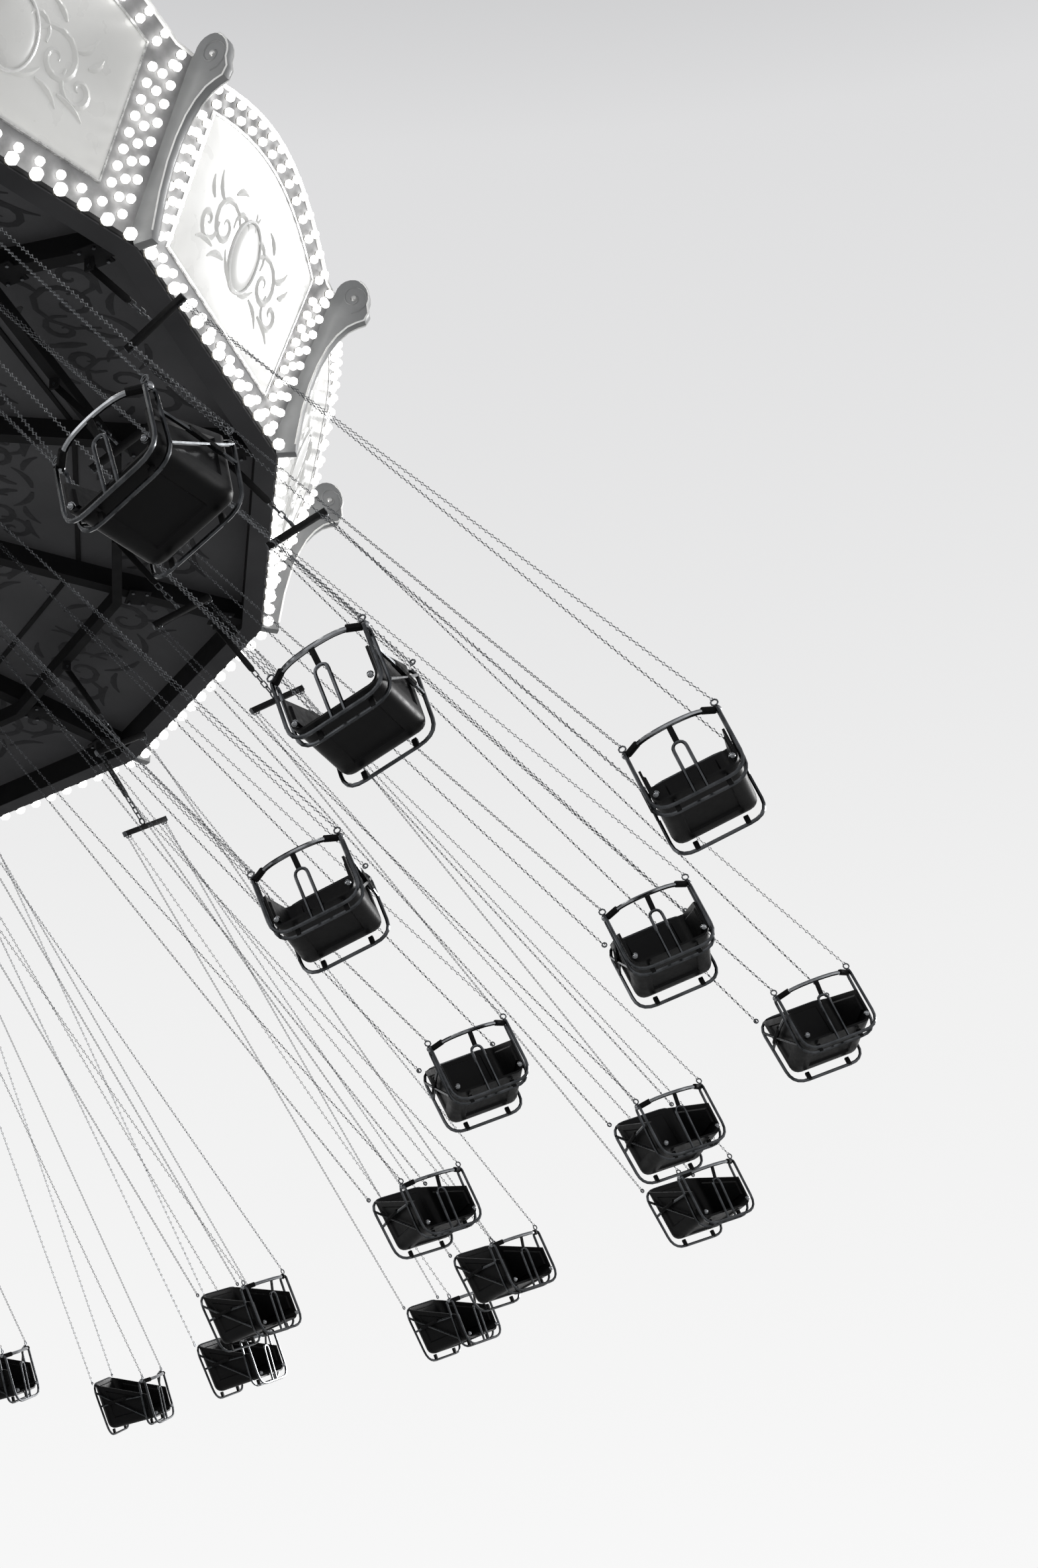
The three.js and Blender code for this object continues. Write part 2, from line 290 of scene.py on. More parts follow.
# Charcoal oil paint on the ceiling boards: dull, blotched by years of damp and lamp soot
CEILING_PAINT = Finish(
    "charcoal_board_paint", "525254", "3c3c3e", 0.8,
    specular=0.15, cloud_mm=900, surface=Surface.GRAINED, grain_mm=6, relief_mm=0.3,
)
# The scrolls on it are brushed on by hand in a darker grey that has almost sunk in
SCROLL_PAINT = Finish("faded_scroll_paint", "333335", "28282a", 0.7, specular=0.15, cloud_mm=160)
# The rim's underside, in the same charcoal, a shade deeper
SOFFIT_PAINT = Finish(
    "charcoal_rim_paint", "444446", "333335", 0.8, specular=0.15, cloud_mm=600, grain_mm=6, relief_mm=0.2
)
# Structural steel, sprayed near black, with a low sheen on its edges
FRAME_PAINT = Finish("charcoal_steel_paint", "222223", "171718", 0.75, specular=0.06, cloud_mm=500, grain_mm=5)
# Gloss enamel on the rounding boards, with a painted glow of its own that stands in for the light of its bulbs
FASCIA_ENAMEL = Finish(
    "ivory_enamel_with_painted_glow", "d2d2d0", "c9c9c7", 0.3, coat=0.5, cloud_mm=700, relief_mm=0.08, glow=0.12
)
# Pearl-grey enamel behind the bulbs, matt and streaked by heat
BORDER_ENAMEL = Finish("pearl_grey_enamel", "969697", "6e6e6f", 0.7, specular=0.2, cloud_mm=180, relief_mm=0.1)
# Silver leaf over carved scrolls: bright with soft, worn highs
SILVER_LEAF = Finish(
    "silver_leaf", "d8d8d7", "8e8e8e", 0.3, metallic=0.85, cloud_mm=50, grain_mm=8, relief_mm=0.3
)
# Grey enamel on the corner brackets, half matt
BRACKET_ENAMEL = Finish("grey_gloss_enamel", "828384", "707172", 0.5, specular=0.3, coat=0.05, cloud_mm=300)
# White line picked out along mouldings
WHITE_ENAMEL = Finish("white_gloss_enamel", "f2f2f1", "dcdcdb", 0.28, coat=0.4, cloud_mm=250)
# Opal glass bulbs, burning
BULB_GLASS = Finish("lit_opal_bulb", "fffefb", "fffdf9", 0.2, cloud_mm=60, relief_mm=0.01, glow=4.0)
# Lamp caps of brass that has gone brown
BULB_CAP = Finish("lamp_cap_brass", "55534f", "3c3a37", 0.4, metallic=1.0, cloud_mm=40)
# Roof sheets: pale grey coated steel with rain streaks
ROOF_SHEET = Finish(
    "coated_roof_sheet", "b4b6b8", "94969a", 0.45, coat=0.2, cloud_mm=1200, grain_mm=9, relief_mm=0.2
)
# Ivory panel paint on the housing, drum and lantern
PANEL_PAINT = Finish("ivory_panel_paint", "d8d8d6", "c3c3c1", 0.36, coat=0.3, cloud_mm=900, grain_mm=6)
# Plinth of painted tread plate, scuffed by feet
PLINTH_PAINT = Finish("scuffed_deck_paint", "696a6c", "4b4c4e", 0.62, cloud_mm=350, grain_mm=14, relief_mm=0.8)
# Tower of dark painted steel
TOWER_PAINT = Finish("dark_tower_paint", "3c3d40", "2c2d2f", 0.42, coat=0.25, cloud_mm=700, grain_mm=5)
# Machined mast with a film of grease, scored lengthwise where it slides through its guide
MAST_STEEL = Finish(
    "greased_mast_steel", "8a8b8d", "66676a", 0.3,
    metallic=1.0, cloud_mm=400, grain_mm=3, surface=Surface.BRUSHED,
)
# Chromed seat tubes, a little cloudy, their colour darkened as painted shade for the dark surroundings they
# would reflect; they still throw bright lines
CHROME = Finish("chrome_tube_painted_dark", "5a5c5f", "37393b", 0.2, metallic=1.0, cloud_mm=70, relief_mm=0.01)
# The lap bar's chrome is a lighter copy of the tubes' chrome, darkened less by the same painted shade, so it
# reads brighter
BRIGHT_CHROME = Finish("polished_chrome", "a6a8ab", "77797c", 0.12, metallic=1.0, cloud_mm=70, relief_mm=0.01)
# Hot-dipped chain links: grey zinc with a dull spangle
ZINC = Finish(
    "galvanised_chain", "6c6e71", "45474a", 0.4,
    metallic=0.9, cloud_mm=35, grain_mm=6, relief_mm=0.1, surface=Surface.SPANGLED,
)
# Glass-fibre bucket in black gel coat, rubbed dull where riders slide in
GEL_COAT = Finish(
    "black_gel_coat", "101011", "0a0a0b", 0.42, specular=0.12, cloud_mm=120, grain_mm=5, relief_mm=0.08
)
# Black powder coat on hangers and spreaders
POWDER_COAT = Finish(
    "black_powder_coat", "101011", "0b0b0c", 0.6, specular=0.15, cloud_mm=120, grain_mm=1.5, relief_mm=0.06
)
# Ribbed rubber sleeves and straps
RUBBER = Finish(
    "black_rubber", "0f0f10", "0a0a0b", 0.8, specular=0.15, cloud_mm=60, grain_mm=2.5, relief_mm=0.25
)
# Studio floor, rolled matt and plain
STUDIO_FLOOR = Finish(
    "pale_studio_floor", "cccccb", "cccccb", 0.9, specular=0.0, cloud_mm=4000, relief_mm=0.0
)


# Shapes


def closed_solid(shape: Shape) -> Shape:
    """Merge a shape's doubles and turn its faces outwards.

    Args:
        shape: The shape, which is changed.

    Returns:
        The same shape.
    """
    bmesh.ops.remove_doubles(shape, verts=shape.verts, dist=MERGE_DISTANCE)
    bmesh.ops.recalc_face_normals(shape, faces=shape.faces)
    return shape


def soften(shape: Shape, edges: Sequence[bmesh.types.BMEdge], radius: float, segments: int = 2) -> None:
    """Round some edges of a shape.

    Args:
        shape: The shape, which is changed.
        edges: Its edges to round.
        radius: Radius of the rounding.
        segments: Steps in each rounded edge.
    """
    bmesh.ops.bevel(
        shape, geom=edges, offset=radius, segments=segments, affect="EDGES", profile=0.5, material=-1
    )


def block(size: Point, centre: Point = (0, 0, 0), rounding: float = 0.0) -> Shape:
    """Make a block with rounded edges.

    Args:
        size: Lengths along X, Y and Z.
        centre: Its middle.
        rounding: Radius of the edges.

    Returns:
        The shape.
    """
    shape = bmesh.new()
    bmesh.ops.create_cube(shape, size=1.0)
    bmesh.ops.scale(shape, vec=size, verts=shape.verts)
    if rounding:
        soften(shape, shape.edges[:], rounding)
    bmesh.ops.translate(shape, vec=centre, verts=shape.verts)
    return shape


def plate(outline: Sequence[Sequence[float]], thickness: float, rounding: float = 0.0) -> Shape:
    """Make a flat plate from an outline in the XY plane, centred on z = 0.

    Args:
        outline: Corners in order, of which X and Y count.
        thickness: Depth along Z.
        rounding: Radius of its rim edges.

    Returns:
        The shape.
    """
    shape = bmesh.new()
    face = shape.faces.new([shape.verts.new((*corner[:2], -thickness / 2)) for corner in outline])
    raised = bmesh.ops.extrude_face_region(shape, geom=[face])["geom"]
    corners = [item for item in raised if isinstance(item, bmesh.types.BMVert)]
    bmesh.ops.translate(shape, vec=(0, 0, thickness), verts=corners)
    closed_solid(shape)
    if rounding:
        rims = [edge for edge in shape.edges if abs(edge.verts[0].co.z - edge.verts[1].co.z) < thickness / 2]
        soften(shape, rims, rounding)
    return shape


def turned(profile: Sequence[Flat], steps: int = 64) -> Shape:
    """Spin a profile of radius and height round Z.

    Args:
        profile: Points from one end to the other; a point of radius 0 closes the shape on the axis.
        steps: Steps in the full turn.

    Returns:
        The shape.
    """
    shape = bmesh.new()
    points = [shape.verts.new((radius, 0, height)) for radius, height in profile]
    edges = [shape.edges.new(pair) for pair in zip(points, points[1:])]
    if profile[0][0] > 0 and profile[-1][0] > 0:
        edges.append(shape.edges.new((points[-1], points[0])))
    full = 2 * math.pi
    bmesh.ops.spin(
        shape, geom=points + edges, cent=(0, 0, 0), axis=(0, 0, 1), angle=full, steps=steps, use_merge=True
    )
    return closed_solid(shape)


def both_sides(half: float, points: Sequence[Flat]) -> list[Point]:
    """Run a route of Y and Z along one side at x = -half and back along the other."""
    return [(-half, y, z) for y, z in points] + [(half, y, z) for y, z in reversed(points)]


def bow(start: Vector, pull: Vector, end: Vector, steps: int) -> list[Vector]:
    """Return points of a curve from start to end that bows towards a third point."""
    return [start * (1 - t) ** 2 + pull * (2 * t * (1 - t)) + end * t**2 for t in spaced(0, 1, steps)]


def rounded_route(corners: Sequence[Point], bend: float, steps: int = 5, closed: bool = False) -> list[Vector]:
    """Turn a cornered route into one with smooth bends.

    Args:
        corners: Corner points in order.
        bend: How far from each corner its bend starts.
        steps: Steps in each bend.
        closed: Whether the last corner runs on to the first.

    Returns:
        Points along the route.
    """
    points = [Vector(corner) for corner in corners]
    count = len(points)
    route: list[Vector] = []
    for i, corner in enumerate(points):
        if not closed and i in (0, count - 1):
            route.append(corner)
            continue
        before, after = points[i - 1] - corner, points[(i + 1) % count] - corner
        start = corner + before.normalized() * min(bend, before.length / 2)
        end = corner + after.normalized() * min(bend, after.length / 2)
        route += bow(start, corner, end, steps)
    return route


def tube(
    route: Sequence[Vector | Point],
    radius: float,
    closed: bool = False,
    roundness: int = 1,
    swell: Sequence[float] | None = None,
) -> Shape:
    """Make a round tube along a route.

    Args:
        route: Points in order.
        radius: Radius of the tube.
        closed: Whether the route is a loop.
        roundness: Roundness of the section: 0 is four sides, 1 is six, 2 is eight.
        swell: Factor on the radius at each point.

    Returns:
        The shape, with closed ends.
    """
    curve = bpy.data.curves.new("route", "CURVE")
    curve.dimensions = "3D"
    curve.bevel_depth = radius
    curve.bevel_resolution = roundness
    curve.use_fill_caps = not closed
    spline = curve.splines.new("POLY")
    spline.points.add(len(route) - 1)
    for i, (point, place) in enumerate(zip(spline.points, route)):
        point.co = (*place, 1.0)
        point.radius = swell[i] if swell else 1.0
    spline.use_cyclic_u = closed
    carrier = bpy.data.objects.new("route", curve)
    shape = bmesh.new()
    shape.from_mesh(carrier.to_mesh())
    carrier.to_mesh_clear()
    bpy.data.objects.remove(carrier)
    bpy.data.curves.remove(curve)
    return closed_solid(shape)


def ball(radius: float, centre: Point = (0, 0, 0), up: int = 4) -> Shape:
    """Make a ball with few faces.

    Args:
        radius: Its radius.
        centre: Its middle.
        up: Steps from pole to pole.

    Returns:
        The shape.
    """
    shape = bmesh.new()
    bmesh.ops.create_uvsphere(shape, u_segments=8, v_segments=up, radius=radius)
    bmesh.ops.translate(shape, vec=centre, verts=shape.verts)
    return shape


def wire_ring(radius: float, wire: float, steps: int = 8, sides: int = 5, stretch: float = 0.0) -> Shape:
    """Make a ring or a long link standing in the XZ plane.

    Args:
        radius: Radius of the ring's centre line.
        wire: Radius of its wire.
        steps: Steps round the ring.
        sides: Sides of the wire.
        stretch: How much longer than round it is along Z.

    Returns:
        The shape.
    """
    shape = bmesh.new()
    bmesh.ops.create_circle(shape, cap_ends=False, segments=sides, radius=wire)
    bmesh.ops.translate(shape, vec=(radius, 0, 0), verts=shape.verts)
    half_step = Matrix.Rotation(math.pi / steps, 3, "Y")
    bmesh.ops.rotate(shape, cent=(0, 0, 0), matrix=half_step, verts=shape.verts)
    section, full = shape.verts[:] + shape.edges[:], 2 * math.pi
    bmesh.ops.spin(
        shape, geom=section, cent=(0, 0, 0), axis=(0, 1, 0), angle=full, steps=steps, use_merge=True
    )
    for vertex in shape.verts:
        vertex.co.z += math.copysign(stretch / 2, vertex.co.z)
    return closed_solid(shape)


class Assembly:
    """Shapes gathered into one mesh, each with its own finish."""

    def __init__(self) -> None:
        """Start with nothing in it."""
        self.shape = bmesh.new()
        self.finishes: list[Finish] = []

    def add(self, piece: Shape, finish: Finish, place: Matrix | None = None) -> None:
        """Add a shape and free it.

        Args:
            piece: The shape.
            finish: Its finish.
            place: Where it goes.
        """
        if finish not in self.finishes:
            self.finishes.append(finish)
        index = self.finishes.index(finish)
        for face in piece.faces:
            face.material_index = index
        carrier = bpy.data.meshes.new("carrier")
        piece.to_mesh(carrier)
        piece.free()
        if place is not None:
            carrier.transform(place)
        self.shape.from_mesh(carrier)
        bpy.data.meshes.remove(carrier)

    def repeat_round(self) -> None:
        """Repeat everything in it on all the sides."""
        whole = self.shape.verts[:] + self.shape.edges[:] + self.shape.faces[:]
        steps = SIDES - 1
        bmesh.ops.spin(
            self.shape, geom=whole, cent=(0, 0, 0), axis=(0, 0, 1), angle=steps * SECTOR, steps=steps,
            use_duplicate=True,
        )

    def mesh(self, name: str) -> bpy.types.Mesh:
        """Turn it into a smooth-shaded mesh.

        Args:
            name: The mesh's name.

        Returns:
            The mesh.
        """
        mesh = bpy.data.meshes.new(name)
        self.shape.to_mesh(mesh)
        self.shape.free()
        for finish in self.finishes:
            mesh.materials.append(finish.material())
        mesh.shade_smooth()
        mesh.set_sharp_from_angle(angle=CREASE)
        return mesh


def place_piece(mesh: bpy.types.Mesh, body: str, nodes: Sequence[str] = ()) -> None:
    """Put a finished mesh in the scene on its body, and hide the nodes that it stands for.

    Args:
        mesh: The finished mesh; the piece takes its name.
        body: The body that it rides on.
        nodes: The nodes that it stands for.
    """
    piece = bpy.data.objects.new(mesh.name, mesh)
    bpy.context.scene.collection.objects.link(piece)
    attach(piece, body)
    if nodes:
        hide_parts(*nodes)
    LOG.info("%s: %d faces on %s", mesh.name, len(mesh.polygons), body)


@dataclass
class SideFrame:
    """One flat side of a ring of sixteen, with its corners' radius at the foot and at the head.

    Its plane has x along the side, y up its slope and z out of its face.
    """

    foot: float
    head: float
    height: float

    @property
    def lean(self) -> float:
        """Return how far the head's middle stands out over the foot's."""
        return apothem(self.head) - apothem(self.foot)

    @property
    def length(self) -> float:
        """Return the length up the face."""
        return math.hypot(self.lean, self.height)

    def half_width(self, up: float) -> float:
        """Return half the side's width at a distance up its face."""
        return half_side(self.foot + (self.head - self.foot) * up / self.length)

    def matrix(self, floor: float, stand_off: float = 0.0) -> Matrix:
        """Return the place of the side's middle foot.

        Args:
            floor: Height of the foot.
            stand_off: Distance out of the face.

        Returns:
            The matrix from side to ride.
        """
        along = Vector((0, 1, 0))
        up = Vector((self.lean, 0, self.height)).normalized()
        out = along.cross(up)
        foot = Vector((apothem(self.foot), 0, floor)) + out * stand_off
        return Matrix.Translation(foot) @ Matrix((along, up, out)).transposed().to_4x4()


@dataclass
class Scrollwork:
    """Mirrored leafy scrolls, as brushed or carved by a fairground decorator.

    Spirals and leaves are drawn for the right half, in shares of its width and of the height: a spiral's
    centre, size, start in degrees and turns, and a leaf's root, tip and bow. A stroke is thin at its end and
    thicker by thick in its middle, and lead is how far into that swell it starts.
    """

    width: float
    height: float
    stroke: float
    flatness: float
    steps_per_turn: int = 9
    least_steps: int = 8
    winding: float = 1.3
    eye: float = 0.08
    thin: float = 0.35
    thick: float = 1.1
    lead: float = 0.08
    spirals: tuple[tuple[float, ...], ...] = (
        (0.50, 0.50, 0.30, 200, -1.6), (0.80, 0.36, 0.19, 150, 1.3), (0.20, 0.66, 0.16, -30, 1.2),
    )
    leaves: tuple[tuple[float, ...], ...] = (
        (0.04, 0.16, 0.36, 0.34, -0.25), (0.06, 0.30, 0.24, 0.52, 0.3), (0.34, 0.24, 0.62, 0.10, 0.25),
        (0.60, 0.22, 0.92, 0.12, 0.2), (0.66, 0.66, 0.86, 0.86, -0.3), (0.50, 0.84, 0.30, 0.96, -0.25),
        (0.84, 0.58, 0.97, 0.74, -0.25), (0.0, 0.58, 0.04, 0.94, 0.15),
    )

    def _spiral(self, centre: Flat, size: float, start: float, turns: float) -> list[Point]:
        """Draw a spiral that winds in to its centre.

        Args:
            centre: Its centre.
            size: Its outer radius.
            start: The angle of its outer end.
            turns: How many turns it makes; negative is clockwise.

        Returns:
            Its points.
        """
        points = []
        for t in spaced(0, 1, max(int(self.steps_per_turn * abs(turns)), self.least_steps)):
            radius = size * (1 - t) ** self.winding + self.eye * size
            angle = start + 2 * math.pi * turns * t
            points.append((centre[0] + radius * math.cos(angle), centre[1] + radius * math.sin(angle), 0.0))
        return points

    def _leaf(self, root: Flat, tip: Flat, bowed: float) -> list[Vector]:
        """Draw one bowed leaf stroke.

        Args:
            root: Where it starts.
            tip: Where it ends.
            bowed: How far it bows to its left, as a share of its length.

        Returns:
            Its points.
        """
        start, end = Vector((*root, 0)), Vector((*tip, 0))
        side = Vector((start.y - end.y, end.x - start.x, 0)) * bowed
        return bow(start, (start + end) / 2 + side, end, 4)

    def add_to(self, assembly: Assembly, finish: Finish, place: Matrix) -> None:
        """Add both halves to an assembly.

        Args:
            assembly: What it is added to.
            finish: Its paint or leaf.
            place: The plane it lies in.
        """
        w, h = self.width / 2, self.height
        strokes = [
            self._spiral((x * w, y * h), size * h, math.radians(start), turns)
            for x, y, size, start, turns in self.spirals
        ]
        strokes += [self._leaf((x * w, y * h), (u * w, v * h), bowed) for x, y, u, v, bowed in self.leaves]
        flat_place = place @ Matrix.Diagonal((1, 1, self.flatness, 1))
        for half in (1, -1):
            for stroke in strokes:
                along = [min(t + self.lead, 1.0) for t in spaced(0, 1, len(stroke) - 1)]
                swell = [self.thin + self.thick * math.sin(math.pi * t) for t in along]
                route = [(half * x, y, z) for x, y, z in stroke]
                assembly.add(tube(route, self.stroke, roundness=0, swell=swell), finish, flat_place)


# Crown


@dataclass
class CrownPart:
    """What the parts of the turning crown share: heights are over its rim, and it rises towards the mast.

    Pitch is that rise for each metre inwards, along sweeps and ceiling.
    """

    rim: float
    pitch: float = 0.1636
    sweep_outer: float = 5.93
    sweep_lift: float = 0.03

    @property
    def top(self) -> Matrix:
        """Return the place of the rim's centre."""
        return shift(0, 0, self.rim)

    def sweep_underside(self, radius: float) -> float:
        """Return how high the sweeps' underside is at a corner radius."""
        return self.sweep_lift + self.pitch * (self.sweep_outer - radius)


@dataclass
class RoundingBoards(CrownPart):
    """The sixteen leaning boards of the rim, with arched crests, bulbs, corner brackets and the beam below.

    Foot is the corners' radius at the boards' foot, and lean is what it gains up to their head. Panel and
    mouldings are drawn in from the sides, the foot and the top. Battens and oval are placed by shares of the
    board's length. The bracket's outlines are distances out from the rim's corner and heights: its outer edge
    from the foot up, the hook under its head, and its inner edge from the head down. Its head is an oval and
    the curl on it a spiral, over spans in degrees.
    """

    radius: float = 6.0
    foot: float = 5.94
    lean: float = 0.4596
    height: float = 1.2
    thickness: float = 0.045
    crest_half: float = 1.1
    crest_rise: float = 0.28
    crest_steps: int = 16
    board_foot: float = 0.03
    panel: Margins = (0.36, 0.27, 0.21)
    panel_depth: float = 0.016
    mouldings: tuple[tuple[Margins, float, Finish], ...] = (
        ((0.012, 0.062, 0.012), 0.015, WHITE_ENAMEL),
        ((0.355, 0.265, 0.205), 0.014, SILVER_LEAF),
        ((0.41, 0.32, 0.26), 0.007, WHITE_ENAMEL),
    )
    oval: Flat = (0.17, 0.23)
    oval_up: float = 0.58
    oval_steps: int = 28
    batten_depth: float = 0.02
    batten_foot: float = 0.86
    batten_rail: float = 0.93
    batten_reach: float = 0.72
    batten_width: float = 0.05
    rail_width: float = 0.07
    rail_end: float = 0.06
    crest_margin: float = 0.03
    beam_inner: float = 5.85
    beam_height: float = 0.19
    ledge: float = 0.05
    ledge_bulbs: int = 13
    ledge_bulb: float = 0.04
    board_bulb: float = 0.029
    bulb_pitch: float = 0.115
    bracket_width: float = 0.072
    bracket_outer: tuple[Flat, ...] = (
        (0.118, 0.002), (0.122, 0.06), (0.135, 0.13), (0.17, 0.31), (0.222, 0.5), (0.28, 0.65), (0.345, 0.775),
        (0.41, 0.862), (0.48, 0.925), (0.54, 0.953),
    )
    bracket_hook: tuple[Flat, ...] = ((0.592, 0.968), (0.622, 1.02))
    bracket_inner: tuple[Flat, ...] = ((0.384, 1.19), (0.33, 1.08), (0.14, 0.6), (-0.03, 0.15), (-0.085, 0.01))
    head_centre: Flat = (0.512, 1.155)
    head_size: Flat = (0.118, 0.1416)
    head_span: Flat = (-28, 162)
    curl_span: Flat = (-100, 400)
    curl_reach: Flat = (0.104, 0.022)
    curl_stretch: float = 1.15
    curl_steps: int = 18

    @property
    def side(self) -> SideFrame:
        """Return the plane of a board's face."""
        return SideFrame(self.foot, self.foot + self.lean, self.height)

    def crest(self, across: float) -> float:
        """Return how far the arched crest stands over the board's corners at a distance from its middle."""
        return self.crest_rise * math.cos(min(abs(across) / self.crest_half, 1.0) * math.pi / 2)

    def _outline(self, inset: float, low: float, top_inset: float) -> list[Point]:
        """Draw the board's outline, drawn in from its sides and top.

        Args:
            inset: How far in from the sides.
            low: Height of its foot up the face.
            top_inset: How far down from the top.

        Returns:
            Its points.
        """
        high = self.side.length - top_inset
        near, far = (self.side.half_width(up) - inset for up in (low, high))
        crest = [(across, high + self.crest(across), 0) for across in spaced(far, -far, self.crest_steps)]
        return [(-near, low, 0), (near, low, 0), *crest]

    def build(self) -> None:
        """Build the boards with their mouldings, carving, battens and corner brackets, and the rim beam."""
        work = Assembly()
        face = self.side.matrix(self.rim)
        board = plate(self._outline(0.0, self.board_foot, 0.0), self.thickness)
        work.add(board, BORDER_ENAMEL, face @ shift(0, 0, -self.thickness / 2))
        work.add(plate(self._outline(*self.panel), self.panel_depth, 3 * MM), FASCIA_ENAMEL, face)
        for margins, wire, finish in self.mouldings:
            work.add(tube(self._outline(*margins), wire, closed=True), finish, face)
        self._add_cartouche(work, face)
        self._add_battens(work, face)
        carving = Scrollwork(width=1.30, height=0.66, stroke=0.017, flatness=0.5, steps_per_turn=14)
        carving.add_to(work, FASCIA_ENAMEL, face @ shift(0, 0.42, 0.009))
        self._add_bracket(work, CORNER @ shift(self.radius, 0, self.rim))
        work.repeat_round()
        self._add_beam(work)
        place_piece(work.mesh("rounding_boards_finished"), "crown", ["rounding_boards"])

    def _add_cartouche(self, work: Assembly, face: Matrix) -> None:
        """Add the domed oval boss and its moulding in the middle of a board.

        Args:
            work: The assembly of the boards.
            face: The plane of a board.
        """
        centre = shift(0, self.oval_up * self.side.length, 0.006)
        place = face @ centre @ Matrix.Diagonal((*self.oval, 1, 1))
        dome = [(0, 0.0), (1.0, 0.0), (0.9, 0.010), (0.6, 0.020), (0, 0.026)]
        moulding = [(0.98, 0.0), (1.08, 0.0), (1.06, 0.014), (1.0, 0.018), (0.97, 0.012)]
        work.add(turned(dome, self.oval_steps), FASCIA_ENAMEL, place)
        work.add(turned(moulding, self.oval_steps), WHITE_ENAMEL, place)

    def _add_battens(self, work: Assembly, face: Matrix) -> None:
        """Add the battens that stiffen a board behind, where they show above the roof.

        Args:
            work: The assembly of the boards.
            face: The plane of a board.
        """
        depth, length = self.batten_depth, self.side.length
        low, rail = self.batten_foot * length, self.batten_rail * length
        behind = face @ shift(0, 0, MM - self.thickness - depth / 2)
        reach = self.side.half_width(rail) - self.rail_end
        work.add(block((2 * reach, self.rail_width, depth), (0, rail, 0), MM), FRAME_PAINT, behind)
        for across in spaced(-self.batten_reach, self.batten_reach, 4):
            high = length + self.crest(across) - self.crest_margin
            batten = block((self.batten_width, high - low, depth), (across, (low + high) / 2, 0), MM)
            work.add(batten, FRAME_PAINT, behind)

    def _add_bracket(self, work: Assembly, foot: Matrix) -> None:
        """Add the scrolled bracket that covers a corner between two boards.

        Args:
            work: The assembly of the boards.
            foot: The place of the rim's corner.
        """
        (out, up), (wide, tall) = self.head_centre, self.head_size
        head = [
            (out + wide * math.cos(angle), up + tall * math.sin(angle))
            for angle in map(math.radians, spaced(*self.head_span, 11))
        ]
        outline = [*self.bracket_outer, *self.bracket_hook, *head, *self.bracket_inner]
        work.add(plate(outline, self.bracket_width, 0.012), BRACKET_ENAMEL, foot @ UPRIGHT)
        white_line = [*self.bracket_outer[1:], *self.bracket_hook, *head[:6]]
        for side in (-1, 1):
            offset = side * (self.bracket_width / 2 - 0.002)
            line = [(x - 0.006, offset, z) for x, z in white_line]
            work.add(tube(line, 0.007, roundness=0), WHITE_ENAMEL, foot)
            eye = foot @ shift(out + 0.012, offset, up - 0.01)
            curl = [
                (reach * math.cos(angle), 0, self.curl_stretch * reach * math.sin(angle))
                for angle, reach in zip(
                    map(math.radians, spaced(*self.curl_span, self.curl_steps)),
                    spaced(*self.curl_reach, self.curl_steps),
                )
            ]
            work.add(tube(curl, 0.008, roundness=0), BRACKET_ENAMEL, eye)
            boss = [(0, -0.014), (0.016, -0.011), (0.024, 0), (0.016, 0.011), (0, 0.014)]
            work.add(turned(boss, 12), SILVER_LEAF, eye @ UPRIGHT)

    def _add_beam(self, work: Assembly) -> None:
        """Add the dark rim beam with its ledge and its paler underside.

        Args:
            work: The assembly of the boards.
        """
        inner, outer, ledge = self.beam_inner + MM, self.radius - MM, self.ledge
        soffit = [(inner, 0.001), (outer - 0.012, 0.001), (outer - 0.006, 0.006), (inner, 0.006)]
        beam = [
            (inner, 0.0065), (outer - 0.005, 0.0065), (outer, 0.012), (outer, ledge - 0.008),
            (outer - 0.008, ledge), (self.foot, ledge + 0.008), (self.foot, self.beam_height),
            (inner, self.beam_height),
        ]
        for profile, finish in ((soffit, SOFFIT_PAINT), (beam, FRAME_PAINT)):
            work.add(turned(profile, SIDES), finish, self.top @ CORNER)

    def _bulb_places(self) -> list[Flat]:
        """Set out the bulbs of one board: a low row, two rows under the crest and three columns at each side.

        Returns:
            Where they sit, across and up its face.
        """
        length = self.side.length
        places = []
        for up, inset, pitch, arch in (
            (0.16, 0.15, 0.16, 0), (length - 0.07, 0.13, 0.15, 1), (length - 0.16, 0.16, 0.15, 1)
        ):
            reach = self.side.half_width(up) - inset
            for across in spaced(-reach, reach, round(2 * reach / pitch)):
                places.append((across, up + arch * self.crest(across)))
        for inset, low, high in (
            (0.13, 0.27, length - 0.15), (0.21, 0.24, length - 0.24), (0.29, 0.29, length - 0.24)
        ):
            for up in spaced(low, high, round((high - low) / self.bulb_pitch)):
                reach = self.side.half_width(up) - inset
                places += [(-reach, up), (reach, up)]
        return places

    def _add_bulb(self, work: Assembly, at: Matrix, radius: float) -> None:
        """Add one bulb and its cap, standing along Z of its place."""
        work.add(turned([(0, -0.002), (radius * 0.7, -0.002), (0, radius * 0.6)], 6), BULB_CAP, at)
        work.add(ball(radius, (0, 0, radius * 1.02)), BULB_GLASS, at)

    def build_bulbs(self) -> None:
        """Build every bulb of the boards and the ledge with its cap."""
        work = Assembly()
        face = self.side.matrix(self.rim)
        for across, up in self._bulb_places():
            self._add_bulb(work, face @ shift(across, up, 0), self.board_bulb)
        edge = SideFrame(self.radius - MM, self.radius - MM, 1.0).matrix(self.rim)
        reach = half_side(self.radius) - 0.1
        for across in spaced(-reach, reach, self.ledge_bulbs - 1):
            self._add_bulb(work, edge @ shift(across, self.ledge / 2, 0), self.ledge_bulb)
        work.repeat_round()
        place_piece(work.mesh("rounding_board_bulbs"), "crown")


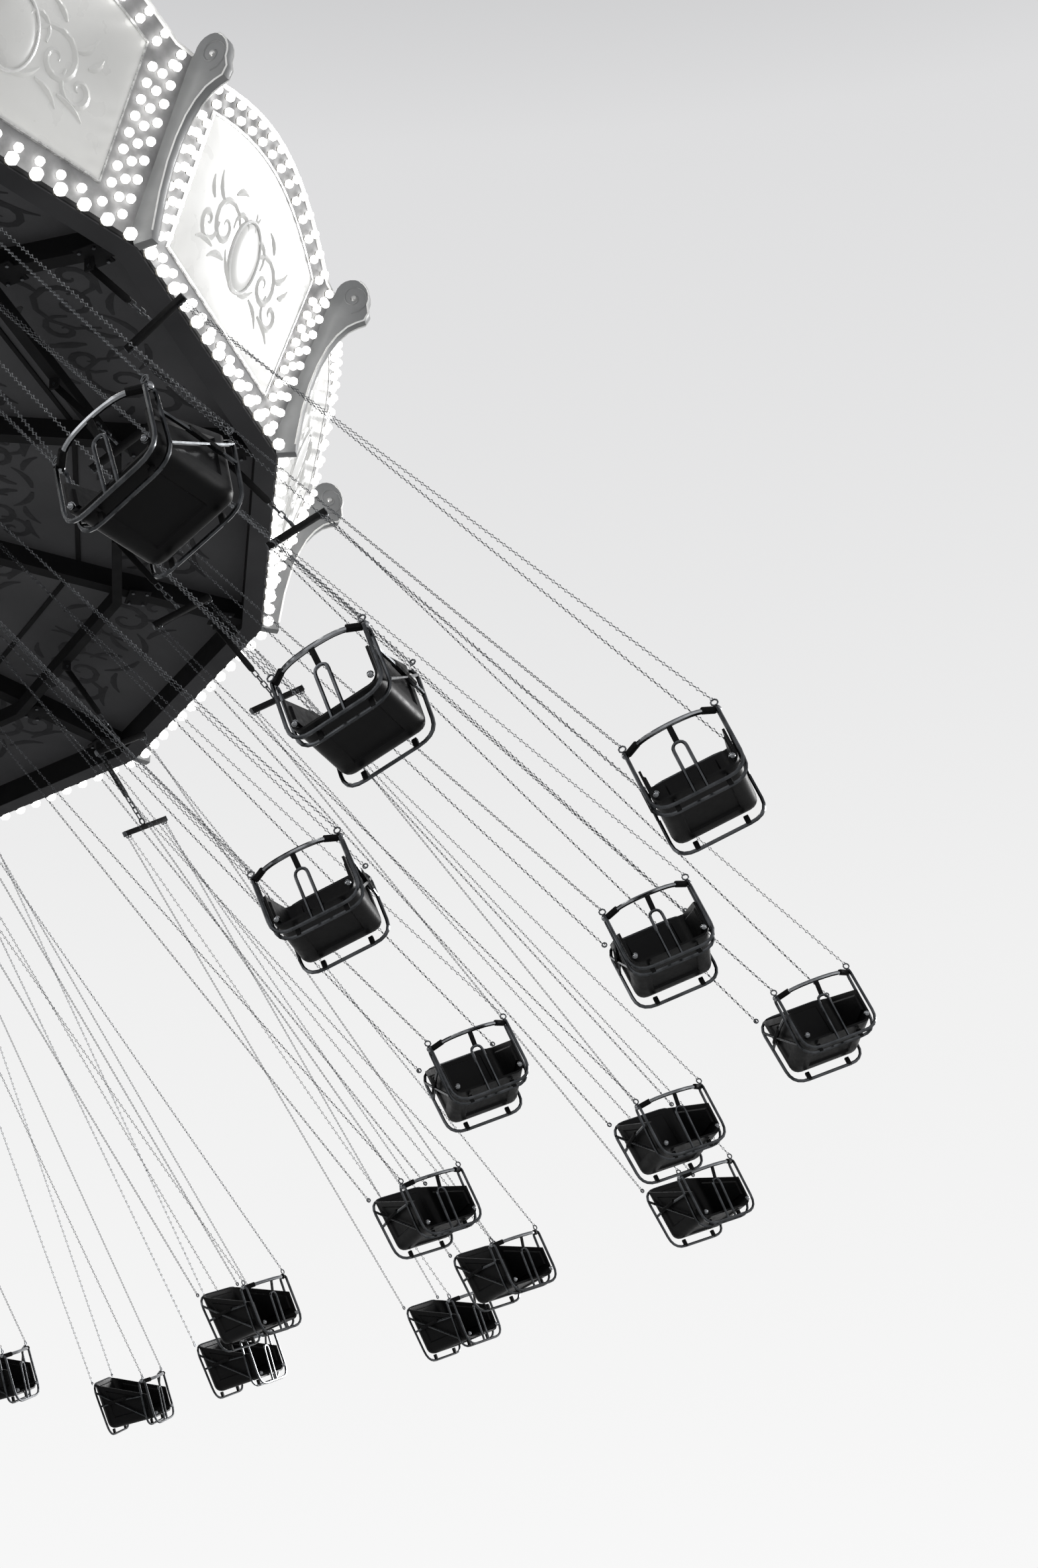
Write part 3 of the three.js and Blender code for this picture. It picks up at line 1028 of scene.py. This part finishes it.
@dataclass
class Ceiling(CrownPart):
    """The dark underside of the crown: scrolls and battens on the ceiling boards, plates on the sweeps.

    Each row of scrolls is given with its distance in from the rim and its height, each batten with its distance
    in from the rim, and each plate with its radius.
    """

    inner: float = 1.27
    outer: float = 5.85
    sweep_depth: float = 0.14
    board_gap: float = 2.2 * MM
    scroll_rows: tuple[Flat, ...] = ((0.16, 0.9), (1.35, 0.75), (2.3, 0.55))
    painted_share: float = 0.86
    battens: tuple[float, ...] = (1.17, 2.2, 3.0, 3.7)
    batten_size: Flat = (0.035, 0.012)
    batten_end: float = 0.06
    plate_size: Point = (0.16, 0.20, 0.012)
    plate_radii: Flat = (5.70, 5.10)
    bolt_spread: Flat = (0.05, 0.075)

    def build_scrolls(self) -> None:
        """Build the painted scrolls and the battens under the ceiling boards."""
        work = Assembly()
        side = SideFrame(self.outer, self.inner, (self.outer - self.inner) * self.pitch)
        under = self.rim + self.sweep_underside(self.outer) + self.sweep_depth + self.board_gap
        face = side.matrix(under, stand_off=-2 * MM) @ turn(math.pi, "Y")
        for up, height in self.scroll_rows:
            width = 2 * side.half_width(up + height / 2) * self.painted_share
            scrolls = Scrollwork(width, height, stroke=0.017, flatness=0.12, steps_per_turn=11)
            scrolls.add_to(work, SCROLL_PAINT, face @ shift(0, up, 0))
        for up in self.battens:
            reach = side.half_width(up) - self.batten_end
            batten = block((2 * reach, *self.batten_size), (0, up, 4 * MM), 3 * MM)
            work.add(batten, FRAME_PAINT, face)
        work.repeat_round()
        place_piece(work.mesh("ceiling_scrolls_and_battens"), "crown")

    def build_plates(self) -> None:
        """Build the plates under each sweep at the outer ring and inside it, with four bolts each."""
        work = Assembly()
        bolt = [(0, -0.008), (0.012, -0.008), (0.012, 0.006), (0, 0.006)]
        (x, y), depth = self.bolt_spread, self.plate_size[2]
        for radius in self.plate_radii:
            place = CORNER @ shift(radius, 0, self.rim + self.sweep_underside(radius) - depth / 2)
            work.add(block(self.plate_size, rounding=3 * MM), FRAME_PAINT, place)
            for across, along in ((-x, -y), (-x, y), (x, -y), (x, y)):
                work.add(turned(bolt, 6), ZINC, place @ shift(across, along, -depth))
        work.repeat_round()
        place_piece(work.mesh("sweep_plates_and_bolts"), "crown")


@dataclass
class Roof(CrownPart):
    """The seams and the capping of the sixteen roof sheets."""

    eave: float = 6.205
    eave_height: float = 0.866
    ridge: float = 0.72
    ridge_height: float = 2.256
    corner_seam: float = 0.022
    sheet_seam: float = 0.012
    sheet_seams: tuple[float, ...] = (-0.55, 0.0, 0.55)
    seam_end: float = 0.05

    def build(self) -> None:
        """Build a seam along each corner, three on each sheet, and the capping."""
        work = Assembly()
        corner = [(self.eave, 0, self.eave_height), (self.ridge, 0, self.ridge_height)]
        work.add(tube(corner, self.corner_seam), ROOF_SHEET, self.top @ CORNER)
        reach, inner = apothem(self.eave), apothem(self.ridge)
        foot = self.eave_height - 3 * MM
        for across in self.sheet_seams:
            stop = max(abs(across) / math.tan(SECTOR / 2) + self.seam_end, inner)
            rise = (self.ridge_height - self.eave_height) * (reach - stop) / (reach - inner)
            seam = [(reach - 0.02, across, foot), (stop, across, foot + rise)]
            work.add(tube(seam, self.sheet_seam, roundness=0), ROOF_SHEET, self.top)
        work.repeat_round()
        capping = [(0.705, 2.15), (0.80, 2.19), (0.80, 2.215), (0.72, 2.27), (0.705, 2.27)]
        work.add(turned(capping), ROOF_SHEET, self.top)
        place_piece(work.mesh("roof_seams"), "crown")


@dataclass
class Lantern(CrownPart):
    """The roof lantern and its finial, as profiles of radius and height, with arches and bulbs round it.

    Bulb_circle is the bulbs' radius at the middle of each side and at each corner.
    """

    body: tuple[Flat, ...] = (
        (0, 2.351), (0.64, 2.351), (0.645, 2.40), (0.62, 2.46), (0.575, 2.49), (0.555, 2.53), (0.555, 2.86),
        (0.60, 2.92), (0.70, 2.98), (0.738, 3.02), (0.738, 3.085), (0.70, 3.12), (0.60, 3.20), (0.47, 3.31),
        (0.33, 3.42), (0.22, 3.50), (0.15, 3.535), (0.12, 3.56), (0, 3.56),
    )
    finial: tuple[Flat, ...] = (
        (0, 3.5605), (0.11, 3.5605), (0.105, 3.585), (0.075, 3.61), (0.062, 3.66), (0.08, 3.71), (0.14, 3.75),
        (0.18, 3.80), (0.19, 3.84), (0.178, 3.89), (0.13, 3.935), (0.07, 3.965), (0.045, 4.0), (0.034, 4.06),
        (0.012, 4.24), (0, 4.33),
    )
    arch: tuple[Flat, ...] = (
        (-0.075, 2.55), (-0.075, 2.74), (-0.04, 2.80), (0.04, 2.80), (0.075, 2.74), (0.075, 2.55)
    )
    arch_radius: float = 0.56
    arch_wire: float = 0.011
    bulb: float = 0.034
    bulb_height: float = 3.05
    bulb_circle: Flat = (0.742, 0.738)

    def build(self) -> None:
        """Build the lantern, its arches and bulbs, and the finial."""
        work = Assembly()
        work.add(turned(self.body), PANEL_PAINT, self.top)
        arch = [(self.arch_radius, across, up) for across, up in self.arch]
        for i in range(SIDES):
            place = self.top @ turn(i * SECTOR)
            work.add(tube(arch, self.arch_wire, closed=True, roundness=0), SILVER_LEAF, place)
            for radius, angle in zip(self.bulb_circle, (0.0, SECTOR / 2)):
                centre = (radius * math.cos(angle), radius * math.sin(angle), self.bulb_height)
                work.add(ball(self.bulb, centre), BULB_GLASS, place)
        work.add(turned(self.finial, 32), SILVER_LEAF, self.top)
        place_piece(work.mesh("roof_lantern_finished"), "crown", ["roof_lantern"])


@dataclass
class Drum(CrownPart):
    """The trim of the flared centre drum: panel mouldings, carving, and a foot ring with bulbs.

    The mouldings are drawn in from the drum's corners, and head_inset times as far at its wider head.
    """

    low: float = -1.65
    low_radius: float = 0.99
    high_radius: float = 1.27
    panel_end: float = 0.12
    head_inset: float = 1.2
    mouldings: tuple[tuple[float, float, Finish], ...] = (
        (0.03, 0.01, SILVER_LEAF), (0.055, 0.006, WHITE_ENAMEL),
    )
    foot_ring: tuple[Flat, ...] = (
        (0.93, 0), (1.0, 0), (1.018, 0.03), (1.012, 0.07), (0.998, 0.09), (0.95, 0.09),
    )
    bulb: float = 0.026
    bulb_circle: float = 1.03
    bulb_up: float = 0.045

    def build(self) -> None:
        """Build the mouldings, the carving, the foot ring and its bulbs."""
        work = Assembly()
        low, high = self.low, self.sweep_underside(self.high_radius)
        side = SideFrame(self.low_radius, self.high_radius, high - low)
        face = side.matrix(self.rim + low)
        foot, head = self.panel_end, side.length - self.panel_end
        for inset, wire, finish in self.mouldings:
            near = half_side(self.low_radius) - inset
            far = half_side(self.high_radius) - inset * self.head_inset
            route = [(-near, foot, 0), (near, foot, 0), (far, head, 0), (-far, head, 0)]
            work.add(tube(route, wire, closed=True), finish, face)
        carving = Scrollwork(width=0.28, height=1.10, stroke=0.009, flatness=0.7)
        carving.add_to(work, SILVER_LEAF, face @ shift(0, 0.6, 0.002))
        work.repeat_round()
        work.add(turned([(radius, low + up) for radius, up in self.foot_ring]), SILVER_LEAF, self.top)
        for i in range(3 * SIDES):
            bulb = ball(self.bulb, (self.bulb_circle, 0, low + self.bulb_up))
            work.add(bulb, BULB_GLASS, self.top @ turn(i * SECTOR / 3))
        place_piece(work.mesh("drum_trim"), "crown")


# Base and mast


@dataclass
class Housing:
    """The trim of the sixteen-sided machine housing: panel frames, carving, corner strips and bulbs."""

    radius: float = 1.95
    cornice: float = 2.13
    panel: Flat = (0.90, 2.20)
    panel_bend: float = 0.06
    mouldings: tuple[tuple[float, float, Finish], ...] = (
        (0.06, 0.016, SILVER_LEAF), (0.10, 0.008, WHITE_ENAMEL),
    )
    strip: Point = (0.03, 0.10, 1.50)
    bulb: float = 0.032
    bulb_height: float = 2.60
    bulbs: tuple[float, ...] = (-0.30, 0.0, 0.30)

    def build(self) -> None:
        """Build the panel frames, the carving, the strips and the cornice's bulbs."""
        work = Assembly()
        face = SideFrame(self.radius, self.radius, 1.0).matrix(0.0)
        low, high = self.panel
        for inset, wire, finish in self.mouldings:
            half = half_side(self.radius) - inset
            corners = [(-half, low, 0), (half, low, 0), (half, high, 0), (-half, high, 0)]
            route = rounded_route(corners, self.panel_bend, 4, closed=True)
            work.add(tube(route, wire, closed=True), finish, face)
        carving = Scrollwork(width=0.50, height=0.95, stroke=0.010, flatness=0.7)
        carving.add_to(work, SILVER_LEAF, face @ shift(0, 1.08, 0.002))
        strip = block(self.strip, (self.radius - 2 * MM, 0, (low + high) / 2), 8 * MM)
        work.add(strip, WHITE_ENAMEL, CORNER)
        for across in self.bulbs:
            place = shift(apothem(self.cornice), across, self.bulb_height)
            work.add(ball(self.bulb, (20 * MM, 0, 0)), BULB_GLASS, place)
        work.repeat_round()
        place_piece(work.mesh("housing_trim"), "base")


@dataclass
class Tower:
    """The round tower with its collar, and the lifting mast that slides in it."""

    bolts: int = 24
    steps: int = 96
    seams: Flat = (3.4, 4.6)
    collar_bolts: float = 0.69
    flange_bolts: float = 0.72

    def _add_bolts(self, work: Assembly, bolt: Sequence[Flat], place: Matrix, start: float = 0.0) -> None:
        """Add a ring of bolts.

        Args:
            work: The assembly.
            bolt: A bolt's profile.
            place: The place of a bolt on the X axis.
            start: How many bolts further round the first one is.
        """
        for i in range(self.bolts):
            work.add(turned(bolt, 6), ZINC, turn((i + start) * 2 * math.pi / self.bolts) @ place)

    def build_tower(self) -> None:
        """Build the tower with its seam bands, its collar and the collar's bolts."""
        work = Assembly()
        low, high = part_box("tower")
        top = high.z
        profile = [
            (0.545, low.z), (0.64, low.z), (0.64, top - 0.36), (0.66, top - 0.335), (0.72, top - 0.28),
            (0.74, top - 0.26), (0.74, top - 0.012), (0.728, top), (0.51, top), (0.5015, top - 0.01),
            (0.5015, top - 0.255), (0.545, top - 0.30),
        ]
        work.add(turned(profile, self.steps), TOWER_PAINT)
        for seam in self.seams:
            band = [(0.638, seam - 0.05), (0.655, seam - 0.045), (0.655, seam + 0.045), (0.638, seam + 0.05)]
            work.add(turned(band, self.steps), TOWER_PAINT)
        bolt = [(0, -0.004), (0.02, -0.004), (0.02, 0.018), (0.012, 0.024), (0, 0.024)]
        self._add_bolts(work, bolt, shift(self.collar_bolts, 0, top))
        place_piece(work.mesh("tower_finished"), "base", ["tower"])

    def build_mast(self) -> None:
        """Build the round lifting mast with its flange and the bolts up into the crown."""
        work = Assembly()
        low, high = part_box("lift_mast")
        top = high.z
        profile = [
            (0, low.z), (0.47, low.z), (0.5, low.z + 0.03), (0.5, top - 0.40), (0.52, top - 0.36),
            (0.70, top - 0.14), (0.76, top - 0.11), (0.76, top - 0.008), (0.752, top), (0, top),
        ]
        work.add(turned(profile, self.steps), MAST_STEEL)
        bolt = [(0, -0.02), (0.012, -0.02), (0.018, -0.014), (0.018, 0.012), (0, 0.012)]
        self._add_bolts(work, bolt, shift(self.flange_bolts, 0, top - 0.118), start=0.5)
        place_piece(work.mesh("lift_mast_finished"), "mast", ["lift_mast"])


# Chairs


@dataclass
class ChairRing:
    """One ring of chairs: how they hang, and the whole chair from its pin down to its lap bar.

    A chair is built hanging straight down from its pin at the origin, facing -Y, with X pointing outwards.
    The heights of its seat are over a point just under the bucket's pan.
    """

    name: str
    length: float
    drop: float = 0.69
    hanger_offset: float = 0.0155
    spreader: float = 0.44
    beam: float = 0.04
    beam_roll: float = math.radians(8)
    twist: float = math.radians(12)
    roll: float = math.radians(18)
    bucket: Point = (0.436, 0.43, 0.40)
    bucket_middle: float = 0.182
    bucket_front: float = 0.185
    bucket_back: float = 0.385
    bucket_rake: float = 0.034
    bucket_bend: float = 0.055
    bucket_wall: float = 0.012
    half: float = 0.235
    tube_radius: float = 0.0095
    hoop_foot: float = -0.07
    hoop_head: float = 0.312
    bar_height: float = 0.305
    # Real links are about 20 mm apart: these are a little coarser, which keeps the chains' triangles down
    link_pitch: float = 0.024
    link_width: float = 0.021
    link_wire: float = 0.0034

    @property
    def seat_place(self) -> Matrix:
        """Return the place of the seat under the pin."""
        return shift(0, 0, -self.length) @ turn(self.twist) @ turn(self.roll, "Y")

    @property
    def spreader_place(self) -> Matrix:
        """Return the place of the spreader bar under the pin."""
        return shift(0, self.hanger_offset, -self.drop) @ turn(self.beam_roll, "Y")

    def _add_bucket(self, work: Assembly, seat: Matrix) -> None:
        """Add the moulded bucket: pan, sides that rise to the back, and recessed panels.

        Args:
            work: The assembly of the chair.
            seat: The place of the seat.
        """
        shell = block(self.bucket, (0, 0, self.bucket_middle))
        for vertex in shell.verts:
            if vertex.co.z > self.bucket_middle:
                behind = vertex.co.y > 0
                vertex.co.z = self.bucket_back if behind else self.bucket_front
                vertex.co.y += self.bucket_rake if behind else 0.0
        bmesh.ops.recalc_face_normals(shell, faces=shell.faces)
        away = [face for face in shell.faces if face.normal.y < -0.8 or face.normal.z > 0.3]
        bmesh.ops.delete(shell, geom=away, context="FACES_ONLY")
        folds = [edge for edge in shell.edges if len(edge.link_faces) == 2]
        soften(shell, folds, self.bucket_bend, segments=4)
        for panel in [face for face in shell.faces if face.calc_area() > 0.03]:
            for thickness, depth in ((0.032, 0.0), (0.008, -0.009)):
                bmesh.ops.inset_individual(
                    shell, faces=[panel], thickness=thickness, depth=depth, use_even_offset=True
                )
        bmesh.ops.solidify(shell, geom=shell.faces[:], thickness=self.bucket_wall)
        bmesh.ops.recalc_face_normals(shell, faces=shell.faces)
        work.add(shell, GEL_COAT, seat)

    def _add_hoops(self, work: Assembly, seat: Matrix) -> None:
        """Add the paired front hoop and the rear hoop.

        Args:
            work: The assembly of the chair.
            seat: The place of the seat.
        """
        half, radius, foot, head = self.half, self.tube_radius, self.hoop_foot, self.hoop_head
        front = both_sides(half, ((-0.218, head), (-0.226, foot)))
        behind = both_sides(half, ((-0.162, head), (-0.150, foot + 0.004)))
        work.add(tube(self._paired_route(front + behind[::-1]), radius, closed=True), CHROME, seat)
        rear = both_sides(half, ((0.245, 0.388), (0.200, foot + 0.004)))
        work.add(tube(rounded_route(rear, 0.10, closed=True), radius, closed=True), CHROME, seat)

    def _paired_route(self, pair: Sequence[Point]) -> list[Vector]:
        """Round the paired hoop's route: wide bends under the seat and tight ones over the posts.

        Args:
            pair: The hoop's eight corners.

        Returns:
            Points along the route.
        """
        low_corners, steps = (1, 2, 5, 6), 5
        wide, tight = (rounded_route(pair, bend, steps, closed=True) for bend in (0.105, 0.027))
        return [w if i // (steps + 1) in low_corners else t for i, (w, t) in enumerate(zip(wide, tight))]

    def _add_rails(self, work: Assembly, seat: Matrix) -> None:
        """Add the arm rails with their pads, the side stays, the clips under the bucket and the crotch post.

        Args:
            work: The assembly of the chair.
            seat: The place of the seat.
        """
        half, radius, foot = self.half, self.tube_radius, self.hoop_foot
        for x in (-half, half):
            rail = [(x, 0.222, 0.192), (x, 0.0, 0.202), (x, -0.158, 0.192)]
            stay = [(x, 0.236, 0.315), (x, 0.15, 0.245), (x, -0.148, 0.02)]
            work.add(tube(rail, radius), CHROME, seat)
            work.add(tube(rounded_route(stay, 0.06, 3), radius * 0.85), CHROME, seat)
            for y in (-0.150, 0.200):
                clip = (math.copysign(0.13, x), y, -0.046)
                work.add(block((0.026, 0.02, 0.05), clip, 0.004), POWDER_COAT, seat)
            work.add(tube([(x, -0.02, 0.207), (x, 0.15, 0.20)], 0.0145), RUBBER, seat)
        post = both_sides(0.032, ((-0.226, foot), (-0.240, 0.215)))
        work.add(tube(rounded_route(post, 0.04, 4), radius * 0.9), CHROME, seat)

    def _add_lap_bar(self, work: Assembly, seat: Matrix) -> None:
        """Add the bowed lap bar with its sleeves, eyes, knobs and the strap down to the crotch post.

        Args:
            work: The assembly of the chair.
            seat: The place of the seat.
        """
        half, height = self.half, self.bar_height
        bends = ((-half, -0.19), (-0.15, -0.255), (0, -0.270), (0.15, -0.255), (half, -0.19))
        route = rounded_route([(x, y, height) for x, y in bends], 0.07, 4)
        work.add(tube(route, 0.0125, roundness=2), BRIGHT_CHROME, seat)
        for side in (-1, 1):
            x = side * half
            sleeve = [(side * 0.222, -0.203, height), (side * 0.165, -0.245, height)]
            work.add(tube(sleeve, 0.0175, roundness=2), RUBBER, seat)
            work.add(ball(0.019, (x, -0.192, self.hoop_head), 6), BRIGHT_CHROME, seat)
            work.add(wire_ring(0.017, 0.0045), ZINC, seat @ shift(x, -0.207, 0.342))
            work.add(wire_ring(0.013, 0.0045), ZINC, seat @ shift(x, 0.244, 0.402))
            work.add(ball(0.016, (side * 0.19, -0.232, 0.02), 6), BRIGHT_CHROME, seat)
        strap = plate([(-0.014, -0.092), (0.014, -0.092), (0.014, 0.0), (-0.014, 0.0)], 0.004, 0.001)
        work.add(strap, RUBBER, seat @ shift(0, -0.270, 0.298) @ turn(math.radians(108), "X"))

    def _add_hanger(self, work: Assembly) -> None:
        """Add the pin, the flat hanger bar, its short chain and the spreader bar.

        Args:
            work: The assembly of the chair.
        """
        line = shift(0, self.hanger_offset, 0)
        head = [(0.022 * math.cos(a), 0.022 * math.sin(a)) for a in spaced(0, math.pi, 12)]
        bar = [*head, (-0.022, -0.40), (-0.012, -0.425), (0.012, -0.425), (0.022, -0.40)]
        work.add(plate(bar, 0.014, 0.002), POWDER_COAT, line @ UPRIGHT)
        pin = [(0, -0.026), (0.017, -0.026), (0.017, -0.0225), (0.011, -0.0225), (0.011, 0.014), (0, 0.014)]
        work.add(turned(pin, 12), ZINC, UPRIGHT)
        quarter = turn(math.pi / 2)
        for height, crosswise in ((-0.445, False), (-0.495, True), (-0.545, False), (-0.595, True)):
            place = line @ shift(0, 0, height)
            work.add(wire_ring(0.017, 0.0055, stretch=0.026), ZINC, place @ quarter if crosswise else place)
        work.add(wire_ring(0.026, 0.007, 12, 6), ZINC, line @ shift(0, 0, -0.644) @ quarter)
        place, end = self.spreader_place, self.beam * 1.04
        work.add(block((self.spreader, self.beam, self.beam), rounding=0.006), POWDER_COAT, place)
        for x in (-self.spreader / 2, self.spreader / 2):
            work.add(block((0.006, end, end), (x, 0, 0), 0.002), ZINC, place)

    def _link(self, pitch: float) -> Shape:
        """Make one chain link in the XZ plane with few faces: two bowed wires that meet at its ends.

        Args:
            pitch: Length from this link to the next.

        Returns:
            The shape.
        """
        link = bmesh.new()
        wire, reach = self.link_wire, self.link_width / 2 - self.link_wire
        for side in (-1, 1):
            bent = bmesh.ops.create_uvsphere(link, u_segments=3, v_segments=2, radius=wire)["verts"]
            bmesh.ops.scale(link, vec=(1, 1, (pitch / 2 + wire) / wire), verts=bent)
            middle = [vertex for vertex in bent if abs(vertex.co.z) < wire / 2]
            bmesh.ops.translate(link, vec=(side * reach, 0, 0), verts=middle)
        bmesh.ops.recalc_face_normals(link, faces=link.faces)
        return link

    def _add_chain(self, work: Assembly, start: Vector, end: Vector) -> None:
        """Add one chain of links that turn by a quarter each.

        Args:
            work: The assembly of the chair.
            start: Its eye on the spreader.
            end: Its eye on the seat.
        """
        run = end - start
        count = round(run.length / self.link_pitch)
        link = self._link(run.length / count)
        carrier = bpy.data.meshes.new("link")
        link.to_mesh(carrier)
        link.free()
        aim = run.to_track_quat("-Z", "Y").to_matrix().to_4x4()
        chain = bmesh.new()
        for i in range(count):
            before = len(chain.verts)
            chain.from_mesh(carrier)
            chain.verts.ensure_lookup_table()
            spin = turn(math.pi / 2 * (i % 2) + math.radians(25))
            place = Matrix.Translation(start + run * ((i + 0.5) / count)) @ aim @ spin
            bmesh.ops.transform(chain, matrix=place, verts=chain.verts[before:])
        bpy.data.meshes.remove(carrier)
        work.add(chain, ZINC)

    def _chair_mesh(self) -> bpy.types.Mesh:
        """Build one whole chair of this ring.

        Returns:
            Its mesh, hanging from the origin.
        """
        work = Assembly()
        seat, beam = self.seat_place, self.spreader_place
        self._add_bucket(work, seat)
        self._add_hoops(work, seat)
        self._add_rails(work, seat)
        self._add_lap_bar(work, seat)
        self._add_hanger(work)
        for side in (-1, 1):
            for spread, y, z in ((0.180, -0.207, 0.352), (0.206, 0.243, 0.392)):
                work.add(wire_ring(0.014, 0.004), ZINC, beam @ shift(side * spread, 0, -0.024))
                start, end = beam @ Vector((side * spread, 0, -0.02)), seat @ Vector((side * self.half, y, z))
                self._add_chain(work, start, end)
        return work.mesh(f"chair_{self.name}_pattern")

    def build(self, joints: dict[str, dict]) -> None:
        """Put a copy of the chair at each of the ring's pins.

        Args:
            joints: The frame's joints by name.
        """
        pattern = self._chair_mesh()
        for i in range(SIDES):
            node = f"chair_{self.name}_{i + 1:02d}"
            joint = joints[f"{node}_swing"]
            axis = Vector(joint["axis"])
            azimuth = math.atan2(axis.x, -axis.y)
            mesh = pattern.copy()
            mesh.name = f"{node}_finished"
            mesh.transform(Matrix.Translation(joint["pos_m"]) @ turn(azimuth) @ turn(-FLING, "Y"))
            place_piece(mesh, node, [node])
        bpy.data.meshes.remove(pattern)


# Studio


@dataclass
class Studio:
    """Pale floor, soft light and the camera at the photograph's place.

    Angles are in degrees. The sky's colours are given with the height of the line of sight from 0 to 1, and
    each sun with its strength, its turn and how wide it is.
    """

    camera_place: Point = (4.986, -15.975, 1.615)
    camera_turn: Point = (-8.93475, 114.96020, -3.50132)
    lens: float = 62.02
    sensor: float = 36.0
    sight: float = 300.0
    floor_radius: float = 130.0
    sky: tuple[tuple[float, str], ...] = (
        (0.05, "fbfbfb"), (0.36, "f0f0f0"), (0.62, "dededf"), (0.78, "9a9b9d"),
    )
    suns: tuple[tuple[str, float, Point, float], ...] = (
        ("key_sun", 2.4, (73, 0, 119), 16), ("fill_sun", 0.4, (70, 0, -70), 40),
    )

    def build_floor(self) -> None:
        """Lay the floor, just under the plinth."""
        work = Assembly()
        slab = [(0, -0.1), (self.floor_radius, -0.1), (self.floor_radius, -0.0005), (0, -0.0005)]
        work.add(turned(slab, 96), STUDIO_FLOOR)
        floor = bpy.data.objects.new("studio_floor", work.mesh("studio_floor"))
        bpy.context.scene.collection.objects.link(floor)

    def build_lights(self) -> None:
        """Set a sky that is pale low down, a low soft sun on the rim's near boards and a weak fill."""
        bpy.context.scene.view_settings.view_transform = "Standard"
        world = bpy.data.worlds.new("pale_sky")
        bpy.context.scene.world = world
        world.use_nodes = True
        tree = world.node_tree
        tree.nodes.clear()
        heading = add_node(tree, "ShaderNodeTexCoord").outputs["Object"]
        height = add_node(tree, "ShaderNodeSeparateXYZ", inputs={"Vector": heading}).outputs["Z"]
        ramp = add_node(tree, "ShaderNodeValToRGB", inputs={"Fac": height})
        stops = ramp.color_ramp.elements
        while len(stops) < len(self.sky):
            stops.new(0.5)
        for stop, (position, colour) in zip(stops, self.sky):
            stop.position, stop.color = position, linear(colour)
        glow = add_node(tree, "ShaderNodeBackground", inputs={"Color": ramp.outputs["Color"], "Strength": 1.0})
        add_node(tree, "ShaderNodeOutputWorld", inputs={"Surface": glow.outputs["Background"]})
        for name, strength, aim, width in self.suns:
            sun = bpy.data.lights.new(name, "SUN")
            sun.energy = strength
            sun.angle = math.radians(width)
            lamp = bpy.data.objects.new(name, sun)
            lamp.rotation_euler = tuple(math.radians(angle) for angle in aim)
            bpy.context.scene.collection.objects.link(lamp)

    def build_camera(self) -> None:
        """Set the camera at the photograph's viewing angle."""
        data = bpy.data.cameras.new("photo_camera")
        data.sensor_width = self.sensor
        data.lens = self.lens
        data.clip_end = self.sight
        camera = bpy.data.objects.new("photo_camera", data)
        heading, tilt, roll = (math.radians(angle) for angle in self.camera_turn)
        camera.matrix_world = shift(*self.camera_place) @ turn(heading) @ turn(tilt, "X") @ turn(roll)
        bpy.context.scene.collection.objects.link(camera)
        bpy.context.scene.camera = camera


def dress_nodes(nodes: dict[str, bpy.types.Object]) -> None:
    """Give each node that stays its finish.

    Args:
        nodes: The frame's nodes by name.
    """
    finishes = {
        "base_plinth": PLINTH_PAINT,
        "machine_housing": PANEL_PAINT,
        "slewing_hub": FRAME_PAINT,
        "sweep_frame": FRAME_PAINT,
        "hanging_ring": FRAME_PAINT,
        "ceiling_panels": CEILING_PAINT,
        "centre_drum": PANEL_PAINT,
        "roof_panels": ROOF_SHEET,
    }
    for name, finish in finishes.items():
        for slot in nodes[name].material_slots:
            slot.material = finish.material()
        LOG.info("%s keeps its solid", name)


def main() -> None:
    """Build the finished ride round the frame."""
    logging.basicConfig(level=logging.INFO, format="%(name)s: %(message)s")
    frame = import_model()
    joints = {joint["name"]: joint for joint in frame["joints"]}
    studio = Studio()
    studio.build_camera()
    studio.build_lights()
    studio.build_floor()
    dress_nodes(frame["nodes"])

    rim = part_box("rounding_boards")[0].z
    boards = RoundingBoards(rim)
    boards.build()
    boards.build_bulbs()
    ceiling = Ceiling(rim)
    ceiling.build_scrolls()
    ceiling.build_plates()
    Roof(rim).build()
    Lantern(rim).build()
    Drum(rim).build()
    Housing().build()
    tower = Tower()
    tower.build_tower()
    tower.build_mast()
    for chair_ring in (ChairRing("outer", 5.45), ChairRing("middle", 5.60), ChairRing("inner", 5.77)):
        chair_ring.build(joints)


if __name__ == "__main__":
    main()
